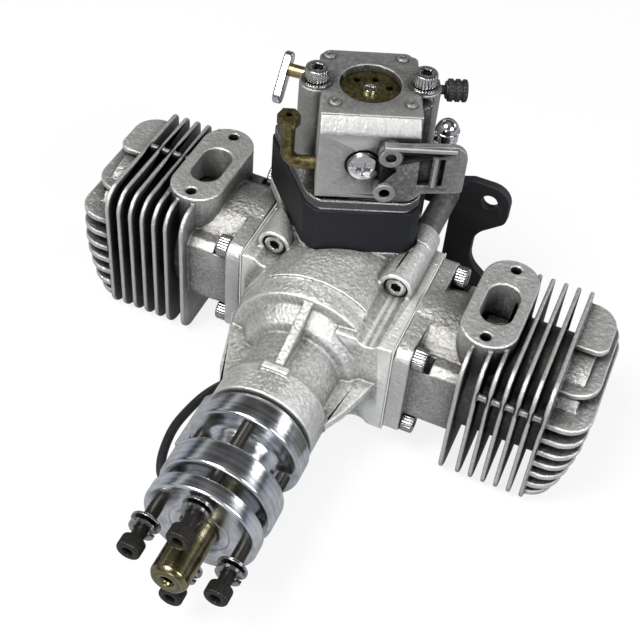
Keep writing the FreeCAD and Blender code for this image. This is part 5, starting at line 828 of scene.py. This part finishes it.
class ENGINE_OT_stage(bpy.types.Operator):
    """Floor, lamps, surroundings and the camera at the photograph's angle"""
    bl_idname = "engine.stage"
    bl_label = "Stage"

    def execute(self, context):
        scene = context.scene
        self.camera(scene)
        self.floor(scene)
        self.surroundings(scene)
        # name, place and size in metres, power in watts, colour
        for row in (
            ("key", (-0.24, -0.42, 0.78), 0.42, 9.6, (1.0, 0.99, 0.96)),
            ("side", (0.66, -0.30, 0.52), 0.36, 4.2, (0.93, 0.96, 1.0)),
            ("rear", (0.70, 0.55, 0.50), 0.30, 1.0, (0.97, 0.98, 1.0)),
            ("front", (0.05, -0.8, 0.22), 0.25, 0.9, (0.92, 0.95, 1.0)),
        ):
            self.lamp(scene, *row)
        scene.view_settings.view_transform = "Standard"
        return {"FINISHED"}

    def camera(self, scene):
        """The camera, looking at the engine as in the photograph."""
        a, e, roll = math.radians(CAMERA_AZIMUTH), math.radians(CAMERA_HEIGHT), math.radians(CAMERA_ROLL)
        back = Vector((math.sin(a) * math.cos(e), -math.cos(a) * math.cos(e), math.sin(e)))
        right = Vector((math.cos(a), math.sin(a), 0))
        up = back.cross(right)
        right_turned = right * math.cos(roll) + up * math.sin(roll)
        up_turned = up * math.cos(roll) - right * math.sin(roll)
        data = bpy.data.cameras.new("camera")
        data.lens = FOCAL_PIXELS / PICTURE_PIXELS * SENSOR_WIDTH
        data.shift_x, data.shift_y = CAMERA_SHIFT
        data.clip_start, data.clip_end = 0.01, 20
        camera = bpy.data.objects.new("camera", data)
        position = Vector((0, -MOUNT_DISTANCE * MM, 0)) + back * CAMERA_DISTANCE
        turn = Matrix((right_turned, up_turned, back)).transposed().to_4x4()
        camera.matrix_world = Matrix.Translation(position) @ turn
        scene.collection.objects.link(camera)
        scene.camera = camera

    def floor(self, scene):
        """A wide floor just under the engine."""
        half, z = 3.0, FRAME_BOX[0].z - 0.0002
        mesh = bpy.data.meshes.new("floor")
        corners = [(-half, -half, z), (half, -half, z), (half, half, z), (-half, half, z)]
        mesh.from_pydata(corners, [], [(0, 1, 2, 3)])
        floor = bpy.data.objects.new("floor", mesh)
        scene.collection.objects.link(floor)
        mesh.materials.append(self.floor_material())

    def lamp(self, scene, name, place_at, size, power, colour):
        """A round lamp that faces the engine."""
        data = bpy.data.lights.new(name, "AREA")
        data.shape, data.size, data.energy, data.color = "DISK", size, power, colour
        lamp = bpy.data.objects.new(name, data)
        lamp.location = place_at
        lamp.rotation_euler = (Vector(place_at) - Vector((0, -0.05, 0))).to_track_quat("Z", "Y").to_euler()
        scene.collection.objects.link(lamp)

    def floor_material(self):
        """Pale floor that looks white to the camera and grey in reflections, and keeps a light shadow."""
        material = bpy.data.materials.new("floor")
        material.use_nodes = True
        tree = material.node_tree
        tree.nodes.clear()
        links = tree.links
        out = node_in(tree, "ShaderNodeOutputMaterial")
        diffuse = node_in(tree, "ShaderNodeBsdfDiffuse", {"Color": (0.82, 0.82, 0.82, 1)})
        white = node_in(tree, "ShaderNodeEmission")
        path = node_in(tree, "ShaderNodeLightPath")
        mirrored = maths(tree, "MAXIMUM", path.outputs["Is Glossy Ray"], path.outputs["Is Transmission Ray"])
        seen = maths(tree, "MAXIMUM", path.outputs["Is Camera Ray"], mirrored)
        tone = node_in(tree, "ShaderNodeMix", {"A": (1, 1, 1, 1), "B": (0.31, 0.32, 0.34, 1)},
                       data_type="RGBA")
        links.new(mirrored, tone.inputs["Factor"])
        links.new(tone.outputs["Result"], white.inputs["Color"])
        blend = node_in(tree, "ShaderNodeMixShader")
        links.new(maths(tree, "MULTIPLY", seen, 0.85), blend.inputs[0])
        links.new(diffuse.outputs[0], blend.inputs[1])
        links.new(white.outputs[0], blend.inputs[2])
        links.new(blend.outputs[0], out.inputs["Surface"])
        return material

    def surroundings(self, scene):
        """Bands of light and dark that the metal mirrors, by height; the camera itself sees white."""
        world = bpy.data.worlds.new("surroundings")
        scene.world = world
        world.use_nodes = True
        tree = world.node_tree
        links = tree.links
        background = tree.nodes["Background"]
        coord = node_in(tree, "ShaderNodeTexCoord")
        split = node_in(tree, "ShaderNodeSeparateXYZ")
        links.new(coord.outputs["Generated"], split.inputs[0])
        ramp = node_in(tree, "ShaderNodeValToRGB")
        bands = [(0.0, 0.46, 0.53, 0.66), (0.10, 0.40, 0.46, 0.58), (0.17, 0.03, 0.03, 0.035),
                 (0.34, 0.03, 0.03, 0.03), (0.40, 0.80, 0.80, 0.79), (0.50, 0.80, 0.80, 0.79),
                 (0.56, 0.06, 0.06, 0.06), (0.86, 0.08, 0.08, 0.08), (1.0, 0.45, 0.45, 0.45)]
        stops = ramp.color_ramp.elements
        for height, *_ in bands[1:-1]:
            stops.new(height)
        for stop, (height, *tone) in zip(stops, bands):
            stop.position = height
            stop.color = (*tone, 1)
        links.new(split.outputs[2], ramp.inputs[0])
        links.new(ramp.outputs[0], background.inputs["Color"])
        background.inputs["Strength"].default_value = 0.75
        plain = node_in(tree, "ShaderNodeBackground", {"Color": (1, 1, 1, 1)})
        chosen = node_in(tree, "ShaderNodeMixShader")
        path = node_in(tree, "ShaderNodeLightPath")
        links.new(path.outputs["Is Camera Ray"], chosen.inputs[0])
        links.new(background.outputs[0], chosen.inputs[1])
        links.new(plain.outputs[0], chosen.inputs[2])
        links.new(chosen.outputs[0], tree.nodes["World Output"].inputs["Surface"])


class ENGINE_PT_panel(bpy.types.Panel):
    """Steps of the engine's looks"""
    bl_idname = "ENGINE_PT_panel"
    bl_label = "Flat aircraft engine"
    bl_space_type = "VIEW_3D"
    bl_region_type = "UI"
    bl_category = "Engine"

    def draw(self, context):
        for step in STEPS:
            self.layout.operator(step.bl_idname)
        for group in (context.scene.engine_finishes, context.scene.engine_sizes):
            for name in group.__annotations__:
                self.layout.prop(group, name)


STEPS = (ENGINE_OT_finishes, ENGINE_OT_castings, ENGINE_OT_driver, ENGINE_OT_propeller_bolts,
         ENGINE_OT_case_screws, ENGINE_OT_carburettor, ENGINE_OT_sensor_lead, ENGINE_OT_stage)
CLASSES = (EngineFinishes, EngineSizes) + STEPS + (ENGINE_PT_panel,)


def register():
    for cls in CLASSES:
        bpy.utils.register_class(cls)
    bpy.types.Scene.engine_finishes = PointerProperty(type=EngineFinishes)
    bpy.types.Scene.engine_sizes = PointerProperty(type=EngineSizes)


def unregister():
    del bpy.types.Scene.engine_finishes
    del bpy.types.Scene.engine_sizes
    for cls in reversed(CLASSES):
        bpy.utils.unregister_class(cls)


def main():
    register()
    for step in STEPS:
        area, name = step.bl_idname.split(".")
        getattr(getattr(bpy.ops, area), name)()


if __name__ == "__main__":
    main()
